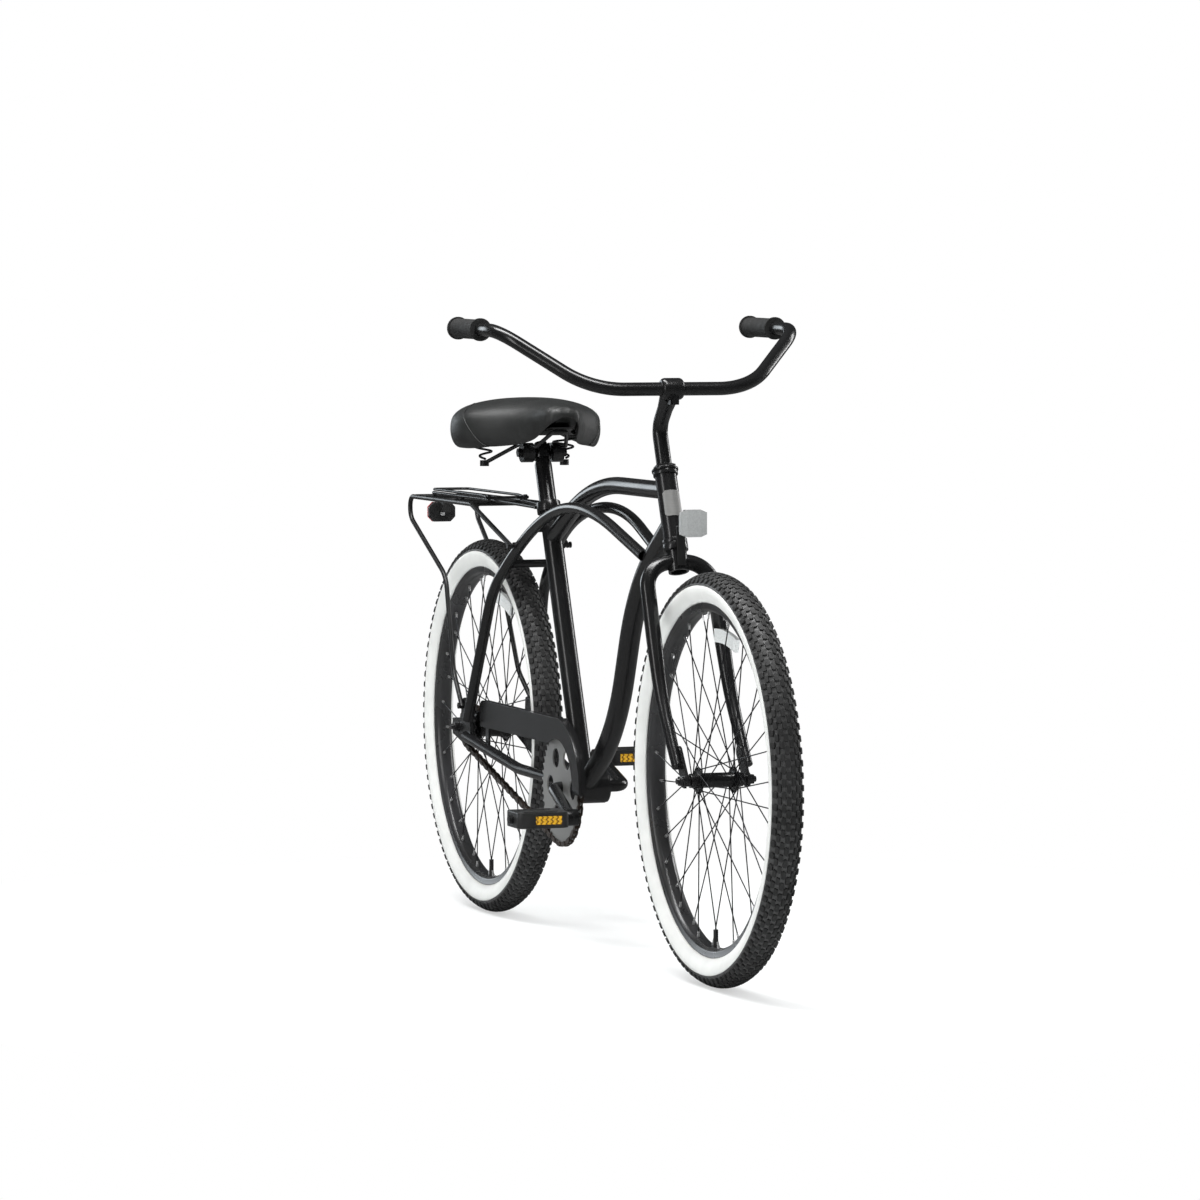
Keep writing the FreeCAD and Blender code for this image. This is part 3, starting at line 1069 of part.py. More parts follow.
for side, word in ((-1, "right"), (1, "left")):
    start = eye[side] + ALONG_Y * (side * (d.eye_width / 2 + d.pedal_gap))
    middle = start + ALONG_Y * (side * d.pedal_width / 2)
    half_long = d.pedal_length / 2
    frame_edges = rounded(half_long, d.pedal_width / 2, d.pedal_round)
    windows = []
    for turn in SIDES:
        low_x, high_x = (turn * d.pedal_window_x - d.pedal_window_length / 2,
                         turn * d.pedal_window_x + d.pedal_window_length / 2)
        windows.append(outline((low_x, -d.pedal_window_width / 2), (high_x, -d.pedal_window_width / 2),
                               (high_x, d.pedal_window_width / 2), (low_x, d.pedal_window_width / 2)))
    cage = plate(f"pedal_{word}_cage", "pedal_thick",
                 Placement(middle - ALONG_Z * (d.pedal_thick / 2), Rotation()), frame_edges, *windows)
    bore = cylinder(f"pedal_{word}_bore", "spindle_dia + 2 * running_gap", "spindle_reach + pedal_gap", start,
                    ALONG_Y * side)
    seats, lenses = [], []
    for turn in SIDES:
        corner = middle + Vector(turn * half_long - (d.pedal_reflector_thick if turn > 0 else 0),
                                 -side * d.pedal_reflector_shift - d.pedal_reflector_length / 2,
                                 -d.pedal_reflector_tall / 2)
        seats.append(box(f"pedal_{word}_seat{turn + 1}", "pedal_reflector_thick", "pedal_reflector_length",
                         "pedal_reflector_tall", corner))
        lenses.append(box(f"pedal_{word}_lens{turn + 1}", "pedal_reflector_thick", "pedal_reflector_length",
                          "pedal_reflector_tall", corner))
    keep(f"pedal_{word}", cut(f"pedal_{word}", cage, bore, *seats))
    keep(f"pedal_{word}_reflectors", group(f"pedal_{word}_reflectors", *lenses))

# chain guard

guard_radius, guard_inner = d.guard_dia / 2, d.guard_inner_dia / 2
bx, bz = crank_axis.x, crank_axis.z
guard_top = d.guard_top_z
SHOULDER_LEAN = math.radians(5)
shoulder_x = bx - guard_radius * math.sin(SHOULDER_LEAN)
shoulder_z = bz + guard_radius * math.cos(SHOULDER_LEAN)
front_z = bz - d.guard_front_drop
front_out = bx + math.sqrt(guard_radius ** 2 - d.guard_front_drop ** 2)
front_in = bx + math.sqrt(guard_inner ** 2 - d.guard_front_drop ** 2)
arch_x = bx - math.sqrt(guard_inner ** 2 - (d.guard_low_z - bz) ** 2)
lift = math.radians(45)
corner_c = d.guard_round * (1 - math.sqrt(HALF))
guard_edges = outline(
    (d.guard_rear_x, d.guard_low_z), (arch_x, d.guard_low_z),
    ((bx + guard_inner * math.sin(lift), bz + guard_inner * math.cos(lift)), (front_in, front_z)),
    (front_out, front_z),
    ((bx + guard_radius * math.sin(lift), bz + guard_radius * math.cos(lift)), (shoulder_x, shoulder_z)),
    (d.guard_rear_x + d.guard_round, guard_top),
    ((d.guard_rear_x + corner_c, guard_top - corner_c), (d.guard_rear_x, guard_top - d.guard_round)))
guard_sheet = plate("guard_sheet", "guard_thick", upright(-d.guard_y + d.guard_thick), guard_edges)
low_radius = guard_radius - d.guard_thick
flange_edges = outline(
    (d.guard_rear_x + d.guard_round, guard_top), (shoulder_x, shoulder_z),
    ((bx + guard_radius * math.sin(lift), bz + guard_radius * math.cos(lift)), (front_out, front_z)),
    (front_out - d.guard_thick, front_z),
    ((bx + low_radius * math.sin(lift), bz + low_radius * math.cos(lift)),
     (shoulder_x, shoulder_z - d.guard_thick)), (d.guard_rear_x + d.guard_round, guard_top - d.guard_thick))
guard_lip = plate("guard_lip", "guard_flange", upright(-d.guard_y + d.guard_flange), flange_edges)
keep("chain_guard", fuse("chain_guard", guard_sheet, guard_lip))

inside_y = -d.guard_y + d.guard_thick
bar_at = on_seat((d.guard_bar_z - bz) / seat_up.z)
guard_bar = cut("guard_bar", cylinder("guard_bar_full", "guard_bar_dia", "guard_y - guard_thick",
                                      Vector(bar_at.x, inside_y, bar_at.z), ALONG_Y), seat_outside)
guard_strap = cut("guard_strap", box("guard_strap_full", "guard_strap_width", "guard_strap_thick",
                                     "guard_strap_top + stay_end_z + chain_stay_dia / 2",
                                     Vector(d.guard_strap_x - d.guard_strap_width / 2, inside_y,
                                            d.stay_end_z - d.chain_stay_dia / 2)), stay_outside[-1])

# brake arm

arm_end = rear_axle + Vector(d.arm_reach, 0, -d.arm_fall)
arm_along = (arm_end - rear_axle).normalize()
arm_out = arm_along.cross(ALONG_Y)
wide, slim = d.arm_dia / 2, d.arm_tip_dia / 2


def arm_spot(point):
    return (point.x, point.z)


arm_edges = outline(
    arm_spot(rear_axle + arm_out * wide),
    (arm_spot(rear_axle - arm_along * wide), arm_spot(rear_axle - arm_out * wide)),
    arm_spot(arm_end - arm_out * slim),
    (arm_spot(arm_end + arm_along * slim), arm_spot(arm_end + arm_out * slim)))
brake_bar = plate("brake_bar", "arm_thick", upright(d.arm_y + d.arm_thick), arm_edges,
                  circle((rear_axle.x, rear_axle.z), d.locknut_dia / 2 + d.running_gap),
                  circle((arm_end.x, arm_end.z), d.eyelet_bolt_dia / 2))
stay_line = (stay_knee[1] - stay_end[1]).normalize()
strap_at = stay_end[1] + stay_line * ((arm_end.x - d.stay_end_x) / stay_line.x)
strap_from = strap_at - stay_line * (d.strap_width / 2)
strap_band = cut("strap_band", cylinder("strap_full", "strap_dia", "strap_width", strap_from, stay_line),
                 stay_outside[1])
strap_ear = cut("strap_ear", box("strap_ear_full", "strap_width", "strap_ear_thick", "chain_stay_dia * 2",
                                 Vector(arm_end.x - d.strap_width / 2, d.arm_y + d.arm_thick,
                                        arm_end.z - d.arm_tip_dia / 2)), stay_outside[1])
strap_bolt = cylinder("strap_bolt", "eyelet_bolt_dia", "arm_thick", arm_end + ALONG_Y * d.arm_y, ALONG_Y)
keep("brake_arm", group("brake_arm", brake_bar, fuse("brake_strap", strap_band, strap_ear), strap_bolt))

# seat clamp, post, saddle

collar_at = on_seat(d.seat_tube_length - d.collar_height + d.collar_drop)
collar_outside = cylinder("collar_outside", "collar_dia", "collar_height", collar_at, seat_up)
ear_at = collar_at + seat_up * (d.collar_height / 2)
ear = box("collar_ear", "ear_length", "ear_width", "collar_height - collar_drop",
          ear_at + Vector(-d.collar_dia / 2 - d.ear_length / 2, -d.ear_width / 2, -d.collar_height / 2))
collar_bore = cylinder("collar_bore", "seat_tube_dia", "seat_tube_length", crank_axis, seat_up)
post_space = cylinder("post_space", "post_dia + 2 * running_gap", "seat_tube_length + post_top", crank_axis,
                      seat_up)
ear_bolt = cylinder("ear_bolt", "ear_bolt_dia", "ear_bolt_reach",
                    Vector(d.deck_nose_x, -d.ear_bolt_reach / 2, d.deck_nose_z), ALONG_Y)
collar_solid = fuse("collar_solid", collar_outside, ear)
keep("seat_clamp", group("seat_clamp", cut("seat_clamp", collar_solid, collar_bore, post_space, ear_bolt)))

post_radius, neck_radius = d.post_dia / 2, d.post_neck_dia / 2
post_inner, neck_inner = post_radius - d.post_wall, neck_radius - d.post_wall
post_profile = outline(
    (post_inner, d.post_base), (post_radius, d.post_base), (post_radius, d.post_shoulder),
    (neck_radius, d.post_neck), (neck_radius, d.post_top),
    (neck_inner, d.post_top), (neck_inner, d.post_neck), (post_inner, d.post_shoulder))
clamp_along = (d.clamp_z - crank_axis.z) / seat_up.z
clamp_mid = on_seat(clamp_along)
band_start = clamp_mid - seat_up * (d.clamp_band_height / 2)
saddle_bolt = cylinder("saddle_bolt", "saddle_bolt_dia", "2 * saddle_bolt_reach",
                       clamp_mid - ALONG_Y * d.saddle_bolt_reach, ALONG_Y)
saddle_nuts = [hexagon(f"saddle_nut{side + 1}", "nut_dia", "nut_height", clamp_mid + ALONG_Y * (side * (
    d.jaw_outer_y + d.side_gap)), ALONG_Y * side) for side in SIDES]
post_tube = cut("post_tube", turned("post_turned", post_profile, crank_axis, seat_up), saddle_bolt)
clamp_band = cut("clamp_band", tube("clamp_ring", "clamp_band_dia", "post_neck_dia", "clamp_band_height",
                                    band_start, seat_up), saddle_bolt)
keep("seat_post", group("seat_post", post_tube, clamp_band,
                        fuse("saddle_bolt_set", saddle_bolt, *saddle_nuts)))

# saddle: shares of the length from the rear, of the half width, and of the height for the top, the lower edge
# and the rise of the pan
SADDLE_SHARES = (
    (0.00, 0.46, 0.70, 0.36, 0.00), (0.05, 0.74, 0.86, 0.20, 0.00), (0.14, 0.94, 0.96, 0.06, 0.00),
    (0.29, 1.00, 1.00, 0.00, 0.00), (0.46, 0.86, 0.98, 0.03, 0.00), (0.62, 0.56, 0.97, 0.08, 0.00),
    (0.78, 0.34, 0.955, 0.15, 0.08), (0.92, 0.26, 0.92, 0.40, 0.16), (0.98, 0.19, 0.85, 0.53, 0.16),
    (1.00, 0.12, 0.75, 0.60, 0.16))


def pan_rise(x):
    """Height of the pan above its rear part at a place along the saddle."""
    along = (x - d.saddle_rear_x) / d.saddle_length
    for (near, *_, low), (far, *_, high) in zip(SADDLE_SHARES, SADDLE_SHARES[1:]):
        if near <= along <= far:
            return (low + (high - low) * (along - near) / (far - near)) * d.saddle_height
    return 0


rail_radius = d.rail_dia / 2
climb = pan_rise(d.rail_nose_x) - pan_rise(d.rail_nose_x - rail_radius)
nose_depth = (rail_radius + d.spring_gap) / math.cos(math.atan2(climb, rail_radius))
nose = mirrored(d.rail_nose_x, d.rail_nose_y, d.pan_low + pan_rise(d.rail_nose_x) - nose_depth)
rail_front = mirrored(d.rail_front_x, d.rail_y, d.rail_z)
rail_rear = mirrored(d.rail_rear_x, d.rail_y, d.rail_z)
bolt_mid = (d.seat_bolt_low + d.seat_bolt_top) / 2
rail_end = mirrored(d.spring_x, d.spring_y, bolt_mid)
rail_corners = [rail_end, rail_rear, rail_front, nose]
rail_wire = rod("rail_wire", "rail_dia", bent(
    [corner[-1] for corner in rail_corners] + [corner[1] for corner in rail_corners[::-1]],
    [d.rail_bend, d.rail_bend, d.nose_bend, d.nose_bend, d.rail_bend, d.rail_bend]))
seat_bolts = [cylinder(f"seat_bolt{side + 1}", "seat_bolt_dia", "seat_bolt_top - seat_bolt_low",
                       Vector(d.spring_x, side * d.spring_y, d.seat_bolt_low), ALONG_Z) for side in SIDES]
jaws = []
for side in SIDES:
    out = ALONG_Y * side
    jaw = cylinder(f"jaw_full{side + 1}", "jaw_dia", "jaw_outer_y - jaw_inner_y",
                   clamp_mid + out * d.jaw_inner_y, out)
    jaw_bore = cylinder(f"jaw_bore{side + 1}", "saddle_bolt_dia + 2 * running_gap", "jaw_outer_y",
                        clamp_mid, out)
    jaws.append(cut(f"jaw{side + 1}", jaw, rail_wire, jaw_bore))
keep("saddle_rails", group("saddle_rails", fuse("rail_set", rail_wire, *seat_bolts), *jaws))


def biarc(first, first_on, last, last_on):
    """Two tangent arcs between two points with given directions."""
    span, total = last - first, first_on + last_on
    spare = 2 * (1 - first_on.dot(last_on))
    reach = (math.sqrt(span.dot(total) ** 2 + spare * span.dot(span)) - span.dot(total)) / spare
    near, far = first + first_on * reach, last - last_on * reach
    joint = (near + far) / 2
    arcs = []
    for start, control, end in ((first, near, joint), (joint, far, last)):
        middle = (start + end) / 2
        half, rise = (start - middle).Length, (control - middle).Length
        radius = half * math.hypot(half, rise) / rise
        sag = radius - math.sqrt(radius ** 2 - half ** 2)
        arcs.append(Part.Arc(start, middle + (control - middle) * (sag / rise), end).toShape())
    return arcs


SPRING_TURNS = 2.5
SPRING_POINTS = 400
QUARTERS = int(SPRING_TURNS * 4)


def spring(name, side):
    """Conical coil from the rail bolt up to the pan."""
    low = d.seat_bolt_top + d.spring_gap + d.spring_wire / 2
    high = d.pan_low - d.spring_gap - d.spring_wire / 2
    first, last = d.spring_low_dia / 2, d.spring_top_dia / 2
    whole = SPRING_TURNS * 2 * math.pi

    def at(turn):
        share = turn / whole
        radius = first + (last - first) * share
        return Vector(d.spring_x + radius * math.cos(turn), side * (d.spring_y + radius * math.sin(turn)),
                      low + (high - low) * share)

    def heading(turn):
        share = turn / whole
        radius, grow = first + (last - first) * share, (last - first) / whole
        on = grow * math.cos(turn) - radius * math.sin(turn)
        out = grow * math.sin(turn) + radius * math.cos(turn)
        return Vector(on, side * out, (high - low) / whole).normalize()

    turns = [whole * index / QUARTERS for index in range(QUARTERS + 1)]
    arcs = []
    for begin, end in zip(turns, turns[1:]):
        arcs += biarc(at(begin), heading(begin), at(end), heading(end))
    points = [at(whole * index / SPRING_POINTS) for index in range(SPRING_POINTS + 1)]
    apart = int(SPRING_POINTS * HALF / SPRING_TURNS)
    gap = min((there - here).Length for index, here in enumerate(points) for there in points[index + apart:])
    print(name, "least gap between turns", round(gap - d.spring_wire, 2))
    return rod(name, "spring_wire", Part.Wire(arcs))


keep("saddle_springs", group("saddle_springs", spring("spring_right", -1), spring("spring_left", 1)))

# saddle

SHOULDER_SHARE = 0.62
CROWN_SHARE = 0.90
TUCK_SHARE = 0.86


def saddle_section(along, wide, top, low, rise):
    x = d.saddle_rear_x + along * d.saddle_length
    half = wide * d.saddle_half_width
    high = d.saddle_low_z + top * d.saddle_height
    base = d.saddle_low_z + low * d.saddle_height
    side_z = base + (high - base) * SHOULDER_SHARE
    edge_z = base + (high - base) * CROWN_SHARE
    left = [Vector(x, half * SHOULDER_SHARE, edge_z), Vector(x, half * CROWN_SHARE, (side_z + edge_z) / 2),
            Vector(x, half, side_z - (side_z - base) / 3), Vector(x, half * TUCK_SHARE, base)]
    right = [Vector(point.x, -point.y, point.z) for point in left]
    return Part.Wire([
        Part.Arc(left[0], Vector(x, 0, high), right[0]).toShape(),
        Part.Arc(right[0], right[1], right[2]).toShape(), Part.LineSegment(right[2], right[3]).toShape(),
        Part.LineSegment(right[3], left[3]).toShape(), Part.LineSegment(left[3], left[2]).toShape(),
        Part.Arc(left[2], left[1], left[0]).toShape()])


def cavity_section(along, wide, rise, low_z, high_z, spare):
    x = d.saddle_rear_x + along * d.saddle_length
    low_z += rise * d.saddle_height
    high_z += rise * d.saddle_height
    half = wide * d.saddle_half_width * TUCK_SHARE - d.skirt - spare
    corners = [Vector(x, half, low_z), Vector(x, half, high_z),
               Vector(x, -half, high_z), Vector(x, -half, low_z)]
    return Part.makePolygon(corners + corners[:1])


hollow_rows = SADDLE_SHARES[1:-2]
pan_top = d.pan_low + d.pan_thick
outer_skin = Part.makeLoft([saddle_section(*row) for row in SADDLE_SHARES], True, False)
hollow = Part.makeLoft([cavity_section(along, wide, rise, d.saddle_low_z - d.skirt, pan_top, 0)
                        for along, wide, top, low, rise in hollow_rows], True, True)
cushion = doc.addObject("Part::Feature", "saddle_cushion")
cushion.Shape = outer_skin.cut(hollow)
keep("saddle_cushion", cushion)
pan = doc.addObject("Part::Feature", "saddle_pan")
pan.Shape = Part.makeLoft([cavity_section(along, wide, rise, d.pan_low, pan_top, d.pan_gap)
                           for along, wide, top, low, rise in hollow_rows], True, True)
keep("saddle_pan", pan)

# carrier


def capped(wire):
    """The same route run on at both ends, so that the tube passes its bolts."""
    edges = wire.OrderedEdges
    first, last = edges[0], edges[-1]
    start, start_on = first.valueAt(first.FirstParameter), first.tangentAt(first.FirstParameter)
    end, end_on = last.valueAt(last.LastParameter), last.tangentAt(last.LastParameter)
    reach = d.rack_dia / 2
    head = Part.LineSegment(start - start_on * reach, start).toShape()
    tail = Part.LineSegment(end, end + end_on * reach).toShape()
    return Part.Wire([head] + edges + [tail])


eyelet_y = dropout_inner + d.dropout_thick + d.rack_dia / 2 + d.weld_gap
eyelet_spots = mirrored(d.eyelet_x, dropout_inner, d.eyelet_z)
eyelet_bolt_length = str(eyelet_y + d.rack_dia / 2 - dropout_inner)
eyelet_bolts = [cylinder(f"eyelet_bolt{side + 1}", "eyelet_bolt_dia", eyelet_bolt_length, eyelet_spots[side],
                         ALONG_Y * side) for side in SIDES]
foot_ends = mirrored(boss_at.x, foot_y + d.rack_dia / 2, boss_at.z)
eyelet_ends = mirrored(d.eyelet_x, eyelet_y + d.rack_dia / 2, d.eyelet_z)
bolt_sets = []
for row, (bolts, ends) in enumerate(((rack_bolts, foot_ends), (eyelet_bolts, eyelet_ends))):
    for bolt, side in zip(bolts, SIDES):
        head = cylinder(f"rack_bolt_head{row}{side + 1}", "bolt_head_dia", "bolt_head_height / 2", ends[side],
                        ALONG_Y * side)
        bolt_sets.append(fuse(f"rack_bolt{row}{side + 1}", bolt, head))
rack_outside, rack_sides = {}, []
for side in SIDES:
    def spot(x, y, z):
        return Vector(x, side * y, z)

    route = bent([spot(boss_at.x, foot_y, boss_at.z), spot(d.rack_front_x, d.rack_y, d.rack_z),
                  spot(d.rack_rear_x, d.rack_y, d.rack_z), spot(d.rack_rear_x, d.rack_y, d.rack_drop_z),
                  spot(d.rack_knee_x, d.rack_knee_y, d.rack_knee_z),
                  spot(d.rack_shin_x, d.rack_shin_y, d.rack_shin_z), spot(d.eyelet_x, eyelet_y, d.eyelet_z)],
                 [d.rack_front_bend, d.rack_rear_bend, d.rack_drop_bend, d.rack_knee_bend, d.rack_shin_bend])
    rack_outside[side] = rod(f"rack_side{side + 1}", "rack_dia", capped(route))
    rack_sides.append(cut(f"rack_tube{side + 1}", rack_outside[side], *bolt_sets, dropouts[side], *bosses))
keep("rack_sides", group("rack_sides", *rack_sides))

cross_bars = []
for index, x in enumerate((d.cross_rear_x, d.cross_mid_x, d.cross_front_x)):
    cross_bars.append(cylinder(f"cross_bar{index}", "rack_dia", "2 * rack_y - rack_dia - 2 * weld_gap",
                               Vector(x, d.rack_dia / 2 + d.weld_gap - d.rack_y, d.rack_z), ALONG_Y))
deck_z = d.rack_z + d.rack_dia / 2 + d.deck_dia / 2 - d.weld_bite
deck_rear = mirrored(d.cross_rear_x - d.rack_dia / 2, d.deck_y, deck_z)
deck_front = mirrored(d.deck_front_x, d.deck_y, deck_z)
deck_nose = mirrored(d.deck_nose_x, d.deck_nose_y, d.deck_nose_z)
deck_rods = [rod(f"deck{side + 1}", "deck_dia",
                 bent([deck_rear[side], deck_front[side], deck_nose[side]], [d.deck_bend])) for side in SIDES]
pivot_z = deck_z + d.deck_dia / 2 + d.pivot_dia / 2 - d.weld_bite
pivot_start = Vector(d.clip_pivot_x, -d.pivot_reach, pivot_z)
pivot = cylinder("clip_pivot", "pivot_dia", "2 * pivot_reach", pivot_start, ALONG_Y)
keep("rack_deck", cut("rack_deck", fuse("rack_deck_solid", *cross_bars, *deck_rods, pivot), ear_bolt))

clip_root = mirrored(d.clip_pivot_x, d.clip_y, pivot_z)
clip_knee = mirrored(d.clip_knee_x, d.clip_y, d.clip_z)
clip_rear = mirrored(d.clip_rear_x, d.clip_y, d.clip_z)
clip_corners = [clip_root, clip_knee, clip_rear]
clip_route = [corner[-1] for corner in clip_corners] + [corner[1] for corner in clip_corners[::-1]]
clip_wire = rod("clip_wire", "clip_dia", bent(clip_route, [d.clip_bend] * 4))
clip_eyes = [cylinder(f"clip_eye{side + 1}", "clip_eye_dia", "clip_eye_width",
                      clip_root[side] - ALONG_Y * (d.clip_eye_width / 2), ALONG_Y) for side in SIDES]
clip_space = cylinder("clip_space", "pivot_dia + 2 * running_gap", "2 * pivot_reach", pivot_start, ALONG_Y)
keep("rack_clip", cut("rack_clip", fuse("clip_solid", clip_wire, *clip_eyes), clip_space))

rear_facing = Rotation(-ALONG_Y, ALONG_Z, -ALONG_X, "XYZ")
rear_at = Vector(d.rear_reflector_x, 0, d.rear_reflector_z)
rear_block = reflector_block("rear_reflector_block", "rear_reflector_back", Placement(rear_at, rear_facing),
                           d.rear_reflector_width / 2, d.rear_reflector_tall / 2)
rear_tab = box("rear_tab", "rear_reflector_x - cross_rear_x", "bracket_width",
               "rack_z - rear_reflector_z - rack_dia / 2",
               Vector(d.rear_reflector_x, -d.bracket_width / 2, d.rear_reflector_z))
keep("rear_reflector_housing", fuse("rear_reflector_housing", rear_block, rear_tab))
keep("rear_reflector_lens", reflector_block(
    "rear_reflector_lens", "rear_reflector_lens",
    Placement(rear_at - ALONG_X * d.rear_reflector_back, rear_facing), d.rear_reflector_width / 2,
    d.rear_reflector_tall / 2))

keep("fixings", group("fixings", guard_bar, guard_strap, *bolt_sets, ear_bolt))

# check and write

doc.recompute()
os.makedirs("parts", exist_ok=True)
for thing in doc.Objects:
    if "Invalid" in thing.State or "Error" in thing.State:
        raise RuntimeError(f"{thing.Name} {thing.State}")
for name, thing in NODES.items():
    shape = thing.Shape
    if shape.isNull() or not shape.isValid() or not shape.Solids:
        raise RuntimeError(f"{name} is not a valid solid")
    print(name, len(shape.Solids), round(shape.Volume), [round(v) for v in (
        shape.BoundBox.XMin, shape.BoundBox.XMax, shape.BoundBox.YMin, shape.BoundBox.YMax,
        shape.BoundBox.ZMin, shape.BoundBox.ZMax)])
    shape.exportStep(f"parts/{name}.step")
print(len(NODES), "nodes")
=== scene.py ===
import json
import math

import bpy
import numpy as np
from mathutils import Matrix, Vector


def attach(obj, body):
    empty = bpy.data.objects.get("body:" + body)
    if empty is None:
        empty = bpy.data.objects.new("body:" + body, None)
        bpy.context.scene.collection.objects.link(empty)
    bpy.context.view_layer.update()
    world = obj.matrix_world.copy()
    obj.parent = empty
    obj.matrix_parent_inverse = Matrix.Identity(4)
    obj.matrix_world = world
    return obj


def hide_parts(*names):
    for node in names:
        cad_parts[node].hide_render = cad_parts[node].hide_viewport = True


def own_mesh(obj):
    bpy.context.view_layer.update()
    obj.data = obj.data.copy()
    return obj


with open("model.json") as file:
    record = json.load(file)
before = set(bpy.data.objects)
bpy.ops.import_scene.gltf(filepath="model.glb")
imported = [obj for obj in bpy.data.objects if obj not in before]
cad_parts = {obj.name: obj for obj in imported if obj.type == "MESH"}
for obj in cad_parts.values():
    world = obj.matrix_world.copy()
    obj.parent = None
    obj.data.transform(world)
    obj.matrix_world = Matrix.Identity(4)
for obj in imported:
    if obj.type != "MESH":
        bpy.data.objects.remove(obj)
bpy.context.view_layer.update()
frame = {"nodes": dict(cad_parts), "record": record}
nodes = frame["nodes"]
slot_of = {part["node"]: part["material_slot"] for part in frame["record"]["subparts"]}

MM = 0.001
FULL_TURN = 2 * math.pi
HALF_WHEELBASE = 0.570
AXLE_HEIGHT = 0.334
AXLES = {
    "front": Vector((HALF_WHEELBASE, 0, AXLE_HEIGHT)),
    "rear": Vector((-HALF_WHEELBASE, 0, AXLE_HEIGHT)),
}
WHEELS = {"front": "front_wheel", "rear": "rear_wheel"}
SIDES = (-1, 1)


# materials

def feed(tree, socket, value):
    """Links an input to an output, or gives it a plain value."""
    if isinstance(value, bpy.types.NodeSocket):
        tree.links.new(value, socket)
    else:
        socket.default_value = value


def grey(level):
    return (level,) * 3


class Shade:
    """A node material with a few helpers for layered noise."""

    def __init__(self, name, rough, metal=0.0, specular=0.5):
        self.material = bpy.data.materials.new(name)
        self.material.use_nodes = True
        self.tree = self.material.node_tree
        self.shader = self.tree.nodes["Principled BSDF"]
        self.shader.inputs["Roughness"].default_value = rough
        self.shader.inputs["Metallic"].default_value = metal
        self.shader.inputs["Specular IOR Level"].default_value = specular
        self.place = self.tree.nodes.new("ShaderNodeTexCoord").outputs["Object"]
        self.heights = []

    def node(self, kind, **inputs):
        made = self.tree.nodes.new(kind)
        for name, value in inputs.items():
            feed(self.tree, made.inputs[name.replace("_", " ")], value)
        return made

    def stretched(self, scale):
        return self.node("ShaderNodeMapping", Vector=self.place, Scale=scale).outputs["Vector"]

    def noise(self, scale, detail, place=None):
        made = self.node("ShaderNodeTexNoise", Vector=place or self.place, Scale=scale, Detail=detail)
        return made.outputs["Fac"]

    def cells(self, scale, feature="F1"):
        made = self.node("ShaderNodeTexVoronoi", Vector=self.place, Scale=scale)
        made.feature = feature
        return made.outputs["Distance"]

    def ramp(self, value, *stops):
        """Colours at two shares of the value."""
        made = self.node("ShaderNodeValToRGB", Fac=value)
        for point, (share, colour) in zip(made.color_ramp.elements, stops):
            point.position = share
            point.color = (*colour, 1)
        return made.outputs["Color"]

    def spread(self, value, low, high, start=0.3, end=0.7):
        """The value stretched from start and end to low and high."""
        made = self.node("ShaderNodeMapRange", Value=value, From_Min=start, From_Max=end, To_Min=low,
                         To_Max=high)
        return made.outputs["Result"]

    def math(self, kind, first, second):
        made = self.tree.nodes.new("ShaderNodeMath")
        made.operation = kind
        feed(self.tree, made.inputs[0], first)
        feed(self.tree, made.inputs[1], second)
        return made.outputs["Value"]

    def colour(self, socket):
        self.tree.links.new(socket, self.shader.inputs["Base Color"])

    def rough(self, socket):
        self.tree.links.new(socket, self.shader.inputs["Roughness"])

    def uneven(self, scale, detail, low, high):
        """Roughness that wanders between two values."""
        self.rough(self.spread(self.noise(scale, detail), low, high))

    def bump(self, value, distance, strength):
        self.heights.append((value, distance, strength))

    def coat(self, weight, rough):
        self.shader.inputs["Coat Weight"].default_value = weight
        self.shader.inputs["Coat Roughness"].default_value = rough

    def done(self):
        """Stacks the bumps, coarse ones first, and hands the material over."""
        normal = None
        for value, distance, strength in self.heights:
            made = self.node("ShaderNodeBump", Height=value, Distance=distance, Strength=strength)
            if normal:
                self.tree.links.new(normal, made.inputs["Normal"])
            normal = made.outputs["Normal"]
        if normal:
            self.tree.links.new(normal, self.shader.inputs["Normal"])
        return self.material


PAINT_BLUE = 1.06
CHEVRON_RISE = 3.5 * MM
CHEVRON_STEP = 4.5 * MM


def lacquer(name, low, high, rough, peel=0.03):
    """Sprayed paint with soft colour clouds, uneven gloss and orange peel."""
    shade = Shade(name, rough)
    clouds = shade.noise(scale=7, detail=5)
    shade.colour(shade.ramp(clouds, (0.3, grey(low)), (0.7, (high, high, high * PAINT_BLUE))))
    shade.uneven(scale=18, detail=4, low=rough - 0.03, high=rough + 0.03)
    shade.bump(shade.noise(scale=400, detail=2), distance=0.2 * MM, strength=peel)
    return shade.done()


def rubber(name, low, high, rough, grain=700.0):
    """Dusty rubber with a fine grain."""
    shade = Shade(name, rough, specular=0.35)
    fine = shade.math("MULTIPLY", shade.noise(scale=grain, detail=3), 0.35)
    dust = shade.math("ADD", shade.noise(scale=14, detail=6), fine)
    shade.colour(shade.ramp(dust, (0.45, grey(low)), (0.9, grey(high))))
    shade.uneven(scale=120, detail=5, low=rough - 0.1, high=rough + 0.1)
    shade.bump(shade.noise(scale=grain, detail=3), distance=0.6 * MM, strength=0.35)
    return shade.done()


def white_rubber():
    """White side wall with faint scuffs."""
    shade = Shade("whitewall", 0.5, specular=0.4)
    scuffs = shade.noise(scale=22, detail=8)
    shade.colour(shade.ramp(scuffs, (0.3, (0.64, 0.645, 0.63)), (0.62, (0.70, 0.705, 0.69))))
    shade.uneven(scale=90, detail=4, low=0.42, high=0.6)
    shade.bump(shade.noise(scale=500, detail=3), distance=0.4 * MM, strength=0.2)
    return shade.done()


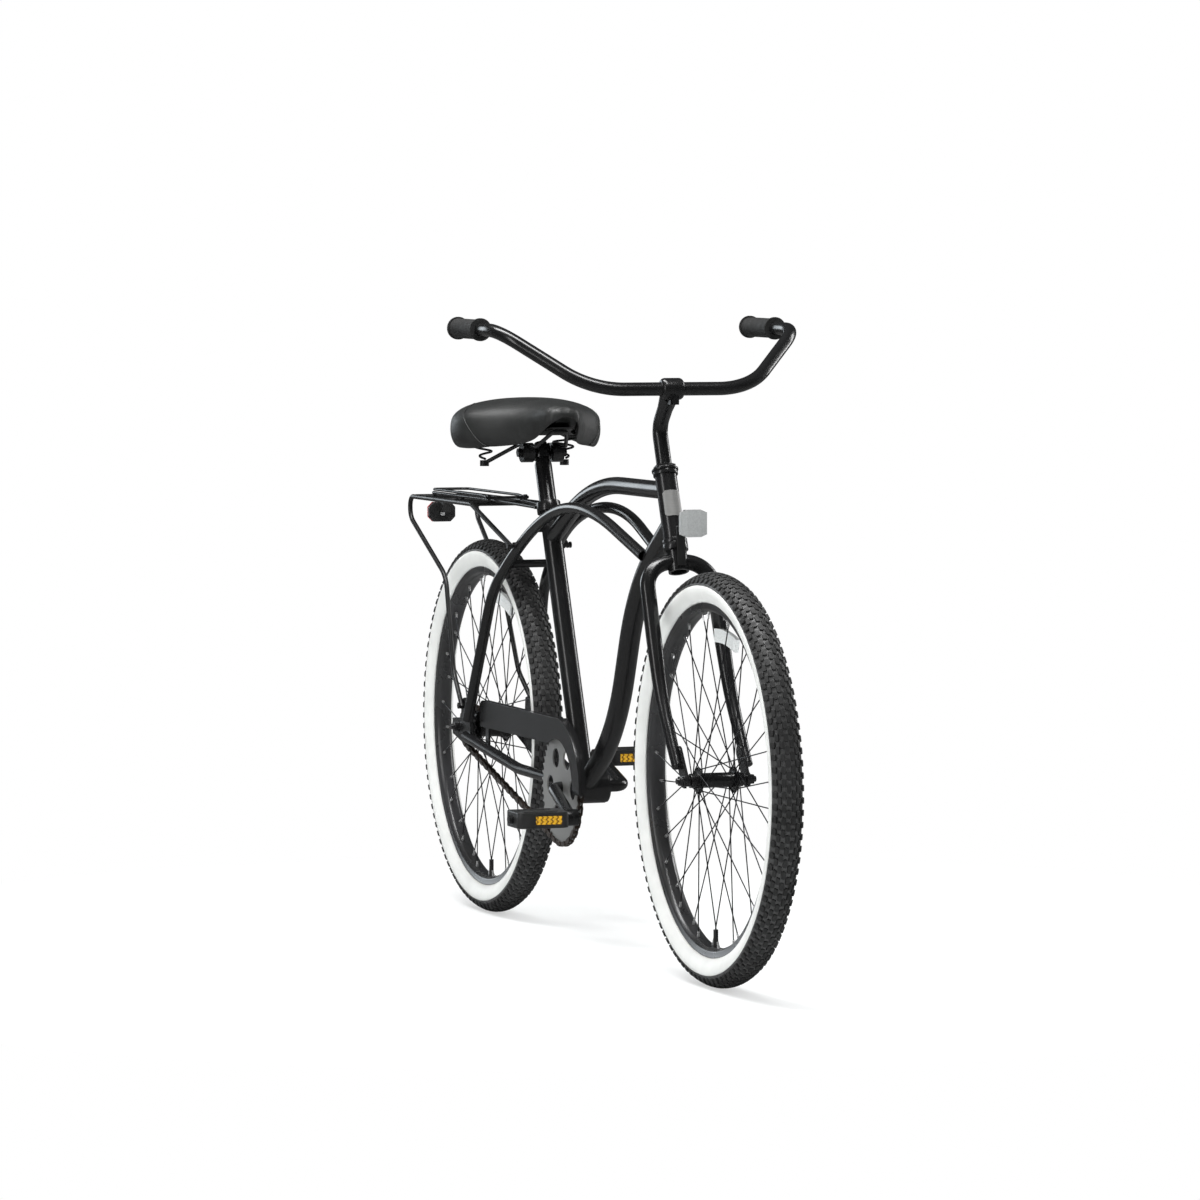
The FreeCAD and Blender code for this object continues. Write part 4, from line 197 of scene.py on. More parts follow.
def plastic(name, low, high, rough):
    """Moulded plastic with a spark-eroded skin."""
    shade = Shade(name, rough, specular=0.45)
    clouds = shade.noise(scale=30, detail=5)
    shade.colour(shade.ramp(clouds, (0.35, grey(low)), (0.7, grey(high))))
    shade.uneven(scale=200, detail=4, low=rough - 0.08, high=rough + 0.08)
    shade.bump(shade.cells(scale=1600), distance=0.2 * MM, strength=0.12)
    return shade.done()


def steel(name, low, high, rough, streak=(40, 40, 1400), metal=1.0):
    """Brushed metal; a lower share of metal stands for a dull, lightly plated face."""
    shade = Shade(name, rough, metal=metal)
    brushed = shade.noise(scale=1.0, detail=6, place=shade.stretched(streak))
    shade.colour(shade.ramp(brushed, (0.3, low), (0.7, high)))
    shade.rough(shade.spread(brushed, rough - 0.08, rough + 0.12))
    shade.bump(brushed, distance=0.2 * MM, strength=0.15)
    return shade.done()


def leather(name):
    """Grained cover stretched over foam: slack hollows, creases between the grains, pores."""
    shade = Shade(name, 0.4, specular=0.6)
    creases = shade.cells(scale=650, feature="DISTANCE_TO_EDGE")
    clouds = shade.noise(scale=18, detail=6)
    shade.colour(shade.ramp(clouds, (0.3, (0.009, 0.0096, 0.0093)), (0.72, (0.017, 0.018, 0.0175))))
    shade.uneven(scale=260, detail=4, low=0.4, high=0.52)
    shade.bump(shade.noise(scale=35, detail=3), distance=3 * MM, strength=0.1)
    shade.bump(shade.spread(creases, 0, 1, start=0.0, end=0.12), distance=0.3 * MM, strength=0.25)
    shade.bump(shade.noise(scale=1800, detail=2), distance=0.2 * MM, strength=0.15)
    return shade.done()


def prisms(name, low, high, size=420.0, rough=0.12):
    """Reflector lens: small prisms under a smooth face."""
    shade = Shade(name, rough, specular=0.6)
    cubes = shade.cells(size)
    shade.colour(shade.ramp(cubes, (0.1, low), (0.65, high)))
    shade.uneven(scale=300, detail=3, low=rough - 0.05, high=rough + 0.08)
    shade.bump(cubes, distance=0.6 * MM, strength=0.4)
    shade.coat(weight=0.6, rough=0.06)
    return shade.done()


def zigzag(name, low, high):
    """Pedal reflector: stepped chevrons of prisms."""
    shade = Shade(name, 0.2, specular=0.6)
    split = shade.node("ShaderNodeSeparateXYZ", Vector=shade.place)
    fold = shade.math("PINGPONG", split.outputs["Z"], CHEVRON_RISE)
    across = shade.math("ADD", split.outputs["Y"], fold)
    steps = shade.math("PINGPONG", across, CHEVRON_STEP)
    value = shade.spread(steps, 0, 1, start=0.0, end=CHEVRON_STEP)
    shade.colour(shade.ramp(value, (0.1, low), (0.55, high)))
    shade.uneven(scale=400, detail=3, low=0.12, high=0.3)
    shade.bump(value, distance=1.2 * MM, strength=0.8)
    shade.coat(weight=0.5, rough=0.08)
    return shade.done()


def chain_steel():
    """Brown oiled steel."""
    shade = Shade("oiled_chain", 0.42, metal=0.9)
    oil = shade.noise(scale=160, detail=5)
    shade.colour(shade.ramp(oil, (0.35, (0.035, 0.026, 0.021)), (0.7, (0.12, 0.095, 0.08))))
    shade.uneven(scale=300, detail=4, low=0.32, high=0.6)
    shade.bump(shade.noise(scale=900, detail=2), distance=0.3 * MM, strength=0.3)
    return shade.done()


SATIN = lacquer("satin_black", 0.007, 0.010, 0.24)
GLOSS = lacquer("gloss_black", 0.005, 0.008, 0.25, peel=0.01)
ROD = lacquer("rod_black", 0.006, 0.009, 0.38, peel=0.01)
RIM = lacquer("rim_black", 0.020, 0.030, 0.28)
BLACK_STEEL = lacquer("black_steel", 0.008, 0.013, 0.26)
TYRE = rubber("tyre_rubber", 0.014, 0.028, 0.56)
# the carcass is painted lighter than the same rubber on the tread: painted light standing in for light
# falling on the side band
WALL = rubber("side_rubber", 0.042, 0.075, 0.46)
WHITE = white_rubber()
GRIP = rubber("grip_foam", 0.009, 0.017, 0.75, grain=450.0)
PLASTIC = plastic("moulded_black", 0.012, 0.022, 0.42)
LEATHER = leather("saddle_cover")
ZINC = steel("zinc", (0.30, 0.30, 0.31), (0.52, 0.52, 0.53), 0.34)
SPOKE = steel("spoke_steel", (0.02, 0.02, 0.022), (0.06, 0.06, 0.065), 0.35)
NICKEL = steel("nickel", grey(0.62), grey(0.8), 0.28, metal=0.85)
SCREW = steel("screw_zinc", grey(0.55), grey(0.75), 0.3, metal=0.4)
BADGE = steel("badge_plate", (0.185, 0.185, 0.18), (0.225, 0.225, 0.22), 0.46, (60, 60, 900), metal=0.3)
RING = steel("ring_steel", (0.15, 0.15, 0.148), (0.21, 0.21, 0.205), 0.42, metal=0.3)
CHAIN = chain_steel()
CLEAR = prisms("clear_lens", (0.27, 0.28, 0.28), (0.40, 0.41, 0.41), size=700.0, rough=0.3)
SPOKE_LENS = prisms("spoke_lens", (0.66, 0.68, 0.68), (0.86, 0.88, 0.88))
RED = prisms("red_lens", (0.22, 0.004, 0.008), (0.55, 0.012, 0.02))
AMBER = zigzag("amber_lens", (0.16, 0.075, 0.003), (0.68, 0.36, 0.012))

BY_SLOT = {
    "frame_paint": SATIN, "rim_paint": RIM, "hub_paint": GLOSS, "black_steel": BLACK_STEEL,
    "bright_steel": ZINC, "spoke_steel": SPOKE, "chain_steel": CHAIN, "badge_metal": BADGE,
    "tyre_rubber": TYRE, "white_rubber": WHITE, "inner_rubber": TYRE, "grip_rubber": GRIP,
    "black_plastic": PLASTIC, "saddle_cover": LEATHER, "clear_reflector": CLEAR, "amber_reflector": AMBER,
    "red_reflector": RED,
}
BY_NODE = {
    "handlebar": GLOSS, "stem": GLOSS, "seat_post": GLOSS, "crank": GLOSS, "chainring": RING,
    "front_axle": BLACK_STEEL, "rear_axle": BLACK_STEEL, "fixings": BLACK_STEEL,
    "crank_hardware": BLACK_STEEL, "front_wheel_reflector": SPOKE_LENS, "rear_wheel_reflector": SPOKE_LENS,
    "rack_sides": ROD, "rack_deck": ROD, "rack_clip": ROD,
}
for name, node in nodes.items():
    node.data.materials.clear()
    node.data.materials.append(BY_NODE.get(name) or BY_SLOT[slot_of[name]])


# mesh building

# a way that no tube of this object follows
ASLANT = (0.3, 0.8, 0.52)
# points that agree to this many decimals of a metre are one
SAME_PLACE = 6


def piece(name, points, faces, material, body, slot, replaced=(), smooth=True):
    """A new mesh that rides on a body."""
    mesh = bpy.data.meshes.new(name)
    mesh.from_pydata([tuple(map(float, point)) for point in points], [], faces)
    mesh.update()
    if smooth:
        mesh.polygons.foreach_set("use_smooth", [True] * len(mesh.polygons))
    mesh.materials.append(material)
    made = bpy.data.objects.new(name, mesh)
    bpy.context.scene.collection.objects.link(made)
    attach(made, body)
    if replaced:
        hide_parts(*replaced)
    return made


class Parts:
    """Collects many small solids into one mesh."""

    def __init__(self):
        self.points, self.faces, self.count = [], [], 0

    def add(self, points, faces):
        self.points.append(np.asarray(points, float))
        self.faces += [tuple(index + self.count for index in face) for face in faces]
        self.count += len(points)

    def all(self):
        return np.concatenate(self.points), self.faces


def loop_faces(rows, count, closed=False):
    """Faces between neighbouring rows of points, where each row is a loop."""
    faces = []
    for row in range(rows if closed else rows - 1):
        here, there = row * count, (row + 1) % rows * count
        for index in range(count):
            after = (index + 1) % count
            faces.append((here + index, there + index, there + after, here + after))
    return faces


def end_faces(rows, count):
    """Faces that close the first and the last row."""
    last = (rows - 1) * count
    return [tuple(range(count)), tuple(range(last, last + count))[::-1]]


def solid_faces(rows, count):
    """Faces of a closed solid whose rows run the other way round."""
    walls = [(first, fourth, third, second) for first, second, third, fourth in loop_faces(rows, count)]
    return walls + [face[::-1] for face in end_faces(rows, count)]


def ring(profile, axle, steps=224):
    """Points and faces of a closed (radius, y) profile turned about the axle."""
    turns = np.linspace(0, FULL_TURN, steps, endpoint=False)
    radius, y = np.array(profile, float).T
    points = np.empty((steps, len(profile), 3))
    points[:, :, 0] = axle.x + np.outer(np.cos(turns), radius)
    points[:, :, 1] = axle.y + y
    points[:, :, 2] = axle.z + np.outer(np.sin(turns), radius)
    return points.reshape(-1, 3), loop_faces(steps, len(profile), closed=True)


def tube(points, radius, sides):
    """Round tube along a line of points, with flat ends."""
    points = np.asarray(points, float)
    ahead = np.gradient(points, axis=0)
    ahead /= np.linalg.norm(ahead, axis=1)[:, None]
    turns = np.linspace(0, FULL_TURN, sides, endpoint=False)
    side = np.cross(ahead[0], ASLANT)
    rows = []
    for point, on in zip(points, ahead):
        side = side - on * side.dot(on)
        side /= np.linalg.norm(side)
        up = np.cross(on, side)
        rows.append(point + radius * (np.outer(np.cos(turns), side) + np.outer(np.sin(turns), up)))
    return np.concatenate(rows), solid_faces(len(rows), sides)


def places(mesh):
    """Vertex positions of a mesh, one row each."""
    return np.array([vertex.co for vertex in mesh.vertices])


def islands(mesh):
    """Groups of vertex positions that belong to one solid of a node."""
    points = places(mesh)
    keys = {}
    rounded = np.round(points, SAME_PLACE).tolist()
    same = np.array([keys.setdefault(tuple(row), len(keys)) for row in rounded])
    root = list(range(len(keys)))

    def find(item):
        while root[item] != item:
            root[item] = root[root[item]]
            item = root[item]
        return item

    for edge in mesh.edges:
        first, second = find(same[edge.vertices[0]]), find(same[edge.vertices[1]])
        root[first] = second
    groups = {}
    for index, key in enumerate(same):
        groups.setdefault(find(key), []).append(index)
    return [points[group] for group in groups.values()]


# tyres with knobs, white walls, rims, nipples

SECTION_CENTRE = 306.5 * MM
SECTION_RADIUS = 26.0 * MM
SECTION_INSIDE = 22.8 * MM
TREAD_TOP = 27.5 * MM
TREAD_FLOOR = 25.2 * MM
# half outline of the carcass: the bead's radius and y in mm, then angles on the round section
BEAD = ((278.5, 9.2), (278.5, 12.8), (284.6, 13.1))
WALL_ANGLES = (-55, -44, -30, -15, 0, 10, 17)
FLOOR_ANGLES = (27, 38, 50, 62, 74, 85)
INSIDE_ANGLES = (80, 50, 20, -10, -40)
# moulded line above the white wall: angles, and heights over the wall in mm
WALL_LINE = ((19, 0.45), (22, 0.5), (24, 0.0))

# rows of tread blocks: lean from the crown in degrees, shift along the row in blocks,
# then length, width and height over the crown's blocks in mm
KNOB_ROWS = (
    (9.4, 0.0, 14.4, 7.2, 0.0),
    (26.6, 0.45, 12.8, 6.6, 0.1),
    (42.4, 0.05, 13.4, 6.4, 0.3),
    (59.0, 0.5, 10.8, 8.0, 1.4),
)
KNOBS_IN_ROW = 104
SIDE_STAGGER = 0.25
# corners of a block as shares of its half length and half width
KNOB_CORNERS = (
    (1, -0.5), (0.86, 0.62), (0.7, 1), (-0.7, 1),
    (-1, 0.5), (-0.86, -0.62), (-0.7, -1), (0.7, -1),
)
KNOB_TOP_SHARE = 0.9
KNOB_FOOT_SHARE = 1.1
KNOB_EDGE = 0.35 * MM
KNOB_SUNK = 0.4 * MM

WHITE_ANGLES = np.linspace(14, -54, 12)
WHITE_RISE = 0.5 * MM
WHITE_EDGE_RISE = 0.25 * MM
WHITE_GAP = 0.05 * MM

# half outline of the rim, radius and y in mm: rolled edge, wall and bed, then the tyre's side
RIM_OUTSIDE = (
    (284.9, 14.1), (285.2, 14.6), (284.9, 15.1), (284.2, 15.1), (283.4, 14.75), (276.2, 14.75),
    (275.2, 14.4), (273.6, 12.9), (270.9, 9.0), (270.2, 7.6), (270.0, 4.5), (270.0, 1.5),
)
RIM_INSIDE = ((271.8, 1.5), (271.8, 7.0), (275.6, 12.4), (277.0, 13.1), (284.0, 13.1))

# a nipple's head and neck: start and end along the spoke from its tip, and radius, in mm
NIPPLE_STEPS = ((-0.8, 4.0, 2.4), (4.0, 10.5, 1.8))
NIPPLE_SIDES = 8
SPOKE_TIP = 2 * MM
SPOKE_BODY = 30 * MM


def in_metres(pairs):
    """An outline in mm, turned into the frame's unit."""
    return [(radius * MM, y * MM) for radius, y in pairs]


def on_section(radius, angle, side=1):
    """Point of the tyre's section, the angle counted from the widest place towards the crown."""
    return (SECTION_CENTRE + radius * math.sin(math.radians(angle)),
            side * radius * math.cos(math.radians(angle)))


def both_halves(outside, inside):
    """Closed (radius, y) outline from the outer and inner line of its half."""
    far = [(radius, -y) for radius, y in outside[::-1] + inside[::-1]]
    return outside + far + inside


def tyre_profile():
    """Section of the carcass: bead, side wall with its moulded line, tread floor, hollow inside."""
    half = in_metres(BEAD)
    half += [on_section(SECTION_RADIUS, angle) for angle in WALL_ANGLES]
    half += [on_section(SECTION_RADIUS + rise * MM, angle) for angle, rise in WALL_LINE]
    half += [on_section(TREAD_FLOOR, angle) for angle in FLOOR_ANGLES]
    return both_halves(half, [on_section(SECTION_INSIDE, angle) for angle in INSIDE_ANGLES])


def knob(axle, turn, lean, long, wide, rise):
    """One tread block, wrapped round the carcass, from its top to its foot."""
    top = TREAD_TOP + rise * MM
    rings = ((KNOB_TOP_SHARE, top), (1.0, top - KNOB_EDGE), (KNOB_FOOT_SHARE, TREAD_FLOOR - KNOB_SUNK))
    points = []
    for share, height in rings:
        for along, across in KNOB_CORNERS:
            angle = math.radians(90 - lean) - across * share * wide / 2 * MM / TREAD_TOP
            around = turn + along * share * long / 2 * MM / (SECTION_CENTRE + TREAD_TOP)
            radius = SECTION_CENTRE + height * math.sin(angle)
            points.append((axle.x + radius * math.cos(around), height * math.cos(angle),
                           axle.z + radius * math.sin(around)))
    return points, solid_faces(len(rings), len(KNOB_CORNERS))


def make_tread(word, axle, body):
    """Rows of blocks on both sides of the crown, the sides staggered."""
    knobs = Parts()
    for lean, shift, long, wide, rise in KNOB_ROWS:
        for side in SIDES:
            for index in range(KNOBS_IN_ROW):
                turn = FULL_TURN * (index + shift + side * SIDE_STAGGER) / KNOBS_IN_ROW
                knobs.add(*knob(axle, turn, side * lean, long, wide, rise))
    piece(f"{word}_tread", *knobs.all(), TYRE, body, "tyre_rubber", smooth=False)


def make_white_bands(word, axle, body):
    """Thin bands on the side walls, their edges thinner still."""
    bands = Parts()
    rises = [WHITE_RISE] * len(WHITE_ANGLES)
    rises[0] = rises[-1] = WHITE_EDGE_RISE
    for side in SIDES:
        outer = [on_section(SECTION_RADIUS + rise, angle, side) for angle, rise in zip(WHITE_ANGLES, rises)]
        inner = [on_section(SECTION_RADIUS + WHITE_GAP, angle, side) for angle in WHITE_ANGLES[::-1]]
        bands.add(*ring(outer + inner, axle))
    piece(f"{word}_white_bands", *bands.all(), WHITE, body, "white_rubber", [f"{word}_whitewalls"])


def make_nipples(word, axle, body):
    """A stepped nipple on the outer end of each spoke."""
    nipples = Parts()
    for points in islands(nodes[f"{word}_spokes"].data):
        away = np.hypot(points[:, 0] - axle.x, points[:, 2] - axle.z)
        tip = points[away > away.max() - SPOKE_TIP].mean(0)
        root = points[away < away.max() - SPOKE_BODY].mean(0)
        on = (root - tip) / np.linalg.norm(root - tip)
        for start, end, radius in NIPPLE_STEPS:
            line = [tip + on * start * MM, tip + on * end * MM]
            nipples.add(*tube(line, radius * MM, NIPPLE_SIDES))
    piece(f"{word}_nipples", *nipples.all(), NICKEL, body, "bright_steel", smooth=False)


def make_wheel(word):
    """Tyre, white walls, rim and nipples of one wheel."""
    axle, body = AXLES[word], WHEELS[word]
    carcass = ring(tyre_profile(), axle)
    piece(f"{word}_tyre_carcass", *carcass, WALL, body, "tyre_rubber", [f"{word}_tyre"])
    make_tread(word, axle, body)
    make_white_bands(word, axle, body)
    rim_loop = both_halves(in_metres(RIM_OUTSIDE), in_metres(RIM_INSIDE))
    piece(f"{word}_rim_hoop", *ring(rim_loop[::-1], axle), RIM, body, "rim_paint", [f"{word}_rim"])
    make_nipples(word, axle, body)


for word in WHEELS:
    make_wheel(word)


# saddle

# rear end, length, half width, lowest edge and height of the cover
SADDLE = {"rear": -0.458, "length": 0.296, "half": 0.1335, "low": 0.838, "height": 0.087}
# shares of the length, the half width, and the height of the top and of the lower edge
STATIONS = np.array((
    (0.000, 0.40, 0.67, 0.41), (0.020, 0.58, 0.785, 0.31), (0.060, 0.77, 0.88, 0.18),
    (0.140, 0.94, 0.96, 0.06), (0.220, 0.99, 0.99, 0.01), (0.300, 1.00, 1.00, 0.00),
    (0.390, 0.95, 0.99, 0.00), (0.470, 0.84, 0.98, 0.02), (0.550, 0.69, 0.975, 0.05),
    (0.630, 0.54, 0.97, 0.08), (0.720, 0.41, 0.96, 0.13), (0.820, 0.32, 0.95, 0.23),
    (0.910, 0.265, 0.93, 0.40), (0.965, 0.215, 0.885, 0.52), (0.992, 0.16, 0.82, 0.59),
    (1.000, 0.11, 0.76, 0.63),
))
# rows of the cover, closer together at both ends
ROW_SHARES = np.concatenate((np.linspace(0, 0.08, 9), np.linspace(0.1, 0.9, 41), np.linspace(0.92, 1, 11)))
CROWN_POINTS = 13
CROWN_ROLL = 2.5
CROWN_FOOT = 0.42
# side and hem: shares of the section's height and of its half width
HEM = ((0.30, 1.0), (0.18, 0.985), (0.07, 0.955), (0.015, 0.92), (0.0, 0.885), (0.03, 0.86))
# recessed underside: shares of the half width, height, and least share of the section's height
INNER_SHARES = (0.84, 0.825, 0.7)
UNDERSIDE = 0.8675
UNDERSIDE_LEAST = 0.34
HEM_POINTS = len(HEM) + len(INNER_SHARES)

SWELL_FRAMES = 16
SWELL_CAP = 3.5 * MM
SWELL_QUALITY = 6
SWELL_PRESSURE = 4
SWELL_STIFFNESS = 40
LEAST_SHIFT = 1e-9

SEAM_TOP_X = -0.392
SEAM_LOW_X = -0.305
SEAM_BOW = 0.8
SEAM_START = 5
SEAM_ABOVE_HEM = 2
SEAM_DEPTH = 1.4 * MM
SEAM_WIDTH = 6 * MM
PIPING_RADIUS = 0.9 * MM
PIPING_SIDES = 8


def smooth_rows(rows, shares):
    """Rows interpolated with a smooth cubic through their stations."""
    at = rows[:, 0]
    slopes = np.gradient(rows[:, 1:], at, axis=0)
    spot = np.clip(np.searchsorted(at, shares, side="right") - 1, 0, len(at) - 2)
    gap = (at[spot + 1] - at[spot])[:, None]
    t = ((shares - at[spot])[:, None]) / gap
    first, second = rows[spot, 1:], rows[spot + 1, 1:]
    return ((2 * t ** 3 - 3 * t ** 2 + 1) * first + (t ** 3 - 2 * t ** 2 + t) * gap * slopes[spot]
            + (-2 * t ** 3 + 3 * t ** 2) * second + (t ** 3 - t ** 2) * gap * slopes[spot + 1])


def half_section(half, high, base):
    """Crown, rolled shoulder, side, hem and inner wall of one half, from the middle to the underside."""
    tall = high - base
    turns = np.linspace(0, math.pi / 2, CROWN_POINTS)
    crown = np.cos(turns) ** (2 / CROWN_ROLL)
    y = list(half * np.sin(turns) ** (2 / CROWN_ROLL))
    z = list(base + tall * CROWN_FOOT + tall * (1 - CROWN_FOOT) * crown)
    for share, tuck in HEM:
        y.append(half * tuck)
        z.append(base + tall * share)
    for share in INNER_SHARES:
        y.append(half * share)
        z.append(max(UNDERSIDE, base + tall * UNDERSIDE_LEAST))
    return np.array(y), np.array(z)


def saddle_grid():
    """Points of the cover: rows along the saddle, each a loop from hem to hem over the crown."""
    loops = []
    for share, (wide, top, low) in zip(ROW_SHARES, smooth_rows(STATIONS, ROW_SHARES)):
        y, z = half_section(wide * SADDLE["half"], SADDLE["low"] + top * SADDLE["height"],
                            SADDLE["low"] + low * SADDLE["height"])
        x = np.full(len(y), SADDLE["rear"] + share * SADDLE["length"])
        left = np.stack((x, y, z), 1)
        right = left[1:][::-1] * (1, -1, 1)
        loops.append(np.concatenate((right, left)))
    return np.array(loops)


grid = saddle_grid()
row_count, loop_count = grid.shape[:2]
saddle_faces = loop_faces(row_count, loop_count) + end_faces(row_count, loop_count)
saddle = piece("saddle_cover", grid.reshape(-1, 3), saddle_faces, LEATHER, "saddle", "saddle_cover",
               ["saddle_cushion"])


def place_cover(points):
    """Moves the cover's vertices to new places."""
    saddle.data.vertices.foreach_set("co", points.astype(np.float32).ravel())
    saddle.data.update()


def swell():
    """Swells the cover with a short pressure simulation, its hem, underside and ends held."""
    rest = places(saddle.data)
    held = [row * loop_count + index for row in range(row_count) for index in range(loop_count)
            if index < HEM_POINTS or index >= loop_count - HEM_POINTS or row in (0, row_count - 1)]
    saddle.vertex_groups.new(name="hem").add(held, 1.0, "REPLACE")
    cloth = saddle.modifiers.new("cloth", "CLOTH")
    cloth.settings.quality = SWELL_QUALITY
    cloth.settings.use_pressure = True
    cloth.settings.uniform_pressure_force = SWELL_PRESSURE
    cloth.settings.vertex_group_mass = "hem"
    cloth.settings.effector_weights.gravity = 0
    cloth.settings.tension_stiffness = SWELL_STIFFNESS
    cloth.settings.compression_stiffness = SWELL_STIFFNESS
    scene = bpy.context.scene
    for step in range(1, SWELL_FRAMES + 1):
        scene.frame_set(step)
    shaped = saddle.evaluated_get(bpy.context.evaluated_depsgraph_get())
    shift = places(shaped.data) - rest
    saddle.modifiers.remove(cloth)
    scene.frame_set(1)
    size = np.linalg.norm(shift, axis=1)
    shift *= (np.minimum(size, SWELL_CAP) / np.maximum(size, LEAST_SHIFT))[:, None]
    place_cover(rest + shift)


swell()


def seam_points(side):
    """Line over one wing, from the crown to the hem, read from the finished cover."""
    middle = loop_count // 2
    cover = places(saddle.data).reshape(grid.shape)
    end = middle - len(INNER_SHARES) - SEAM_ABOVE_HEM
    points = []
    for step in range(SEAM_START, end + 1):
        share = (step - SEAM_START) / (end - SEAM_START)
        x = SEAM_TOP_X + (SEAM_LOW_X - SEAM_TOP_X) * share ** SEAM_BOW
        column = cover[:, middle + side * step]
        order = np.argsort(column[:, 0])
        points.append([x] + [np.interp(x, column[order, 0], column[order, axis]) for axis in (1, 2)])
    return np.array(points)


def crease(points):
    """Draws the cover in along a seam."""
    cover = places(saddle.data)
    normals = np.array([vertex.normal for vertex in saddle.data.vertices])
    away = np.min(np.linalg.norm(cover[:, None, :] - points[None, :, :], axis=2), axis=1)
    place_cover(cover - normals * (SEAM_DEPTH * np.exp(-(away / SEAM_WIDTH) ** 2))[:, None])


SEAMS = [seam_points(side) for side in SIDES]
for points in SEAMS:
    crease(points)
cover_smooth = saddle.modifiers.new("round", "SUBSURF")
cover_smooth.levels = cover_smooth.render_levels = 1
piping = Parts()
for points in SEAMS:
    piping.add(*tube(points, PIPING_RADIUS, PIPING_SIDES))
piece("saddle_piping", *piping.all(), LEATHER, "saddle", "saddle_cover")

springs = nodes["saddle_springs"].data
spring_faces = [tuple(polygon.vertices) for polygon in springs.polygons]
coil = piece("saddle_coils", places(springs), spring_faces, BLACK_STEEL, "saddle_rails", "black_steel",
             ["saddle_springs"])
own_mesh(coil)


# reflectors and eased edges

LENS_FOLD = 0.5
LENS_FALL = 3.6 * MM
LENS_TAPER = 4.2 * MM
SCREW_INSET = 9 * MM
SCREW_DROP = 3 * MM
SCREW_LENGTH = 3 * MM
SCREW_RADIUS = 4.2 * MM
SCREW_SIDES = 16
# widths of the rounds in mm
EASED = {
    "pedal_right": 1.6, "pedal_left": 1.6, "stem": 0.9, "seat_clamp": 0.8, "rear_dropouts": 0.7,
    "crank": 0.8, "grips": 1.4, "rear_reflector_housing": 1.0, "headset_races": 0.6, "bearing_cups": 0.6,
    "fork_blades": 0.8, "chain_guard": 0.5, "brake_arm": 0.6, "seat_post": 0.6, "chainring": 0.3,
    "front_hub": 0.5, "rear_hub": 0.5, "front_axle": 0.5, "rear_axle": 0.5,
}
EASED_FROM = math.radians(40)
EASED_STEPS = 2
WELD_REACH = 1e-5


def spans(name):
    """Lowest and highest corner of a node."""
    points = places(nodes[name].data)
    return points.min(0), points.max(0)


def make_front_lens():
    """Three upright facets, the outer two swept back and tapered."""
    low, high = spans("front_reflector_lens")
    middle = (low + high) / 2
    wide, tall = ((high - low) / 2)[1:]
    fold, short = LENS_FOLD * wide, tall - LENS_TAPER
    edge = [(-fold, -tall), (fold, -tall), (wide, -short), (wide, short),
            (fold, tall), (-fold, tall), (-wide, short), (-wide, -short)]
    count = len(edge)
    front = [(high[0] - LENS_FALL * (abs(y) - fold) / (wide - fold), middle[1] + y, middle[2] + z)
             for y, z in edge]
    back = [(low[0], y, z) for _, y, z in front]
    faces = [(0, 1, 4, 5), (1, 2, 3, 4), (5, 6, 7, 0), end_faces(2, count)[1]]
    faces += loop_faces(2, count)
    piece("front_lens", front + back, faces, CLEAR, "fork", "clear_reflector", ["front_reflector_lens"],
          smooth=False)


def make_screw():
    """Screw head in the back of the rear reflector."""
    low, high = spans("rear_reflector_lens")
    face = spans("rear_reflector_housing")[0][0] + SCREW_INSET
    head = np.array((face, 0, (low[2] + high[2]) / 2 - SCREW_DROP))
    line = [head, head + (SCREW_LENGTH, 0, 0)]
    piece("rear_reflector_screw", *tube(line, SCREW_RADIUS, SCREW_SIDES), SCREW, "frame", "bright_steel",
          smooth=False)


def ease(name, width):
    """Small rounds on the sharp edges of a node."""
    weld = nodes[name].modifiers.new("weld", "WELD")
    weld.merge_threshold = WELD_REACH
    bevel = nodes[name].modifiers.new("ease", "BEVEL")
    bevel.width = width * MM
    bevel.segments = EASED_STEPS
    bevel.limit_method = "ANGLE"
    bevel.angle_limit = EASED_FROM


make_front_lens()
make_screw()
for name, width in EASED.items():
    ease(name, width)


# stage, light and camera

FLOOR_REACH = 60
FLOOR_TONES = ((0.3, (0.93, 0.955, 0.955)), (0.7, (0.94, 0.965, 0.965)))
# the floor's tone in reflections is painted dark; the share of painted white glow near the object, and the
# distances over which it rises to full white
FLOOR_PAINTED_REFLECTION = 0.16
FLOOR_PAINTED_GLOW = 0.5
FLOOR_FADE = (0.75, 1.5)
WHITE_LIGHT = (1, 1, 1, 1)
WORLD_LIGHT = 0.6
BACKDROP_WAY = Vector((-0.935, -0.31, 0.13)).normalized()
BACKDROP_EDGE = (0.972, 0.992)
BACKDROP_MIRRORED = (0.035, 3.8)
BACKDROP_TINT = (0.88, 0.95, 1.0, 1)
# name, width and height, place, aim and power of the soft lights
LIGHTS = (
    ("top", (3.2, 0.55), (0.3, -0.5, 2.9), (0, 0, 0.5), 110),
    ("side", (0.5, 2.4), (-0.6, 3.2, 1.8), (0, 0, 0.6), 45),
    ("front", (0.5, 2.4), (1.4, -3.6, 1.9), (0, 0, 0.6), 30),
)
CAMERA_YAW = math.radians(19.51397)
CAMERA_PITCH = math.radians(3.43661)
CAMERA_PLACE = Vector((9.145853, -3.236685, 1.173728))
CAMERA_SEES = 200
FOCAL_PIXELS = 5734.147
PHOTO_PIXELS = 1200
SENSOR_WIDTH = 36


def soft_light(name, size, place, aim, power):
    """A rectangular lamp turned towards its aim."""
    data = bpy.data.lights.new(name, "AREA")
    data.shape = "RECTANGLE"
    data.size, data.size_y = size
    data.energy = power
    lamp = bpy.data.objects.new(name, data)
    bpy.context.scene.collection.objects.link(lamp)
    lamp.location = place
    lamp.rotation_euler = (Vector(aim) - Vector(place)).to_track_quat("-Z", "Y").to_euler()


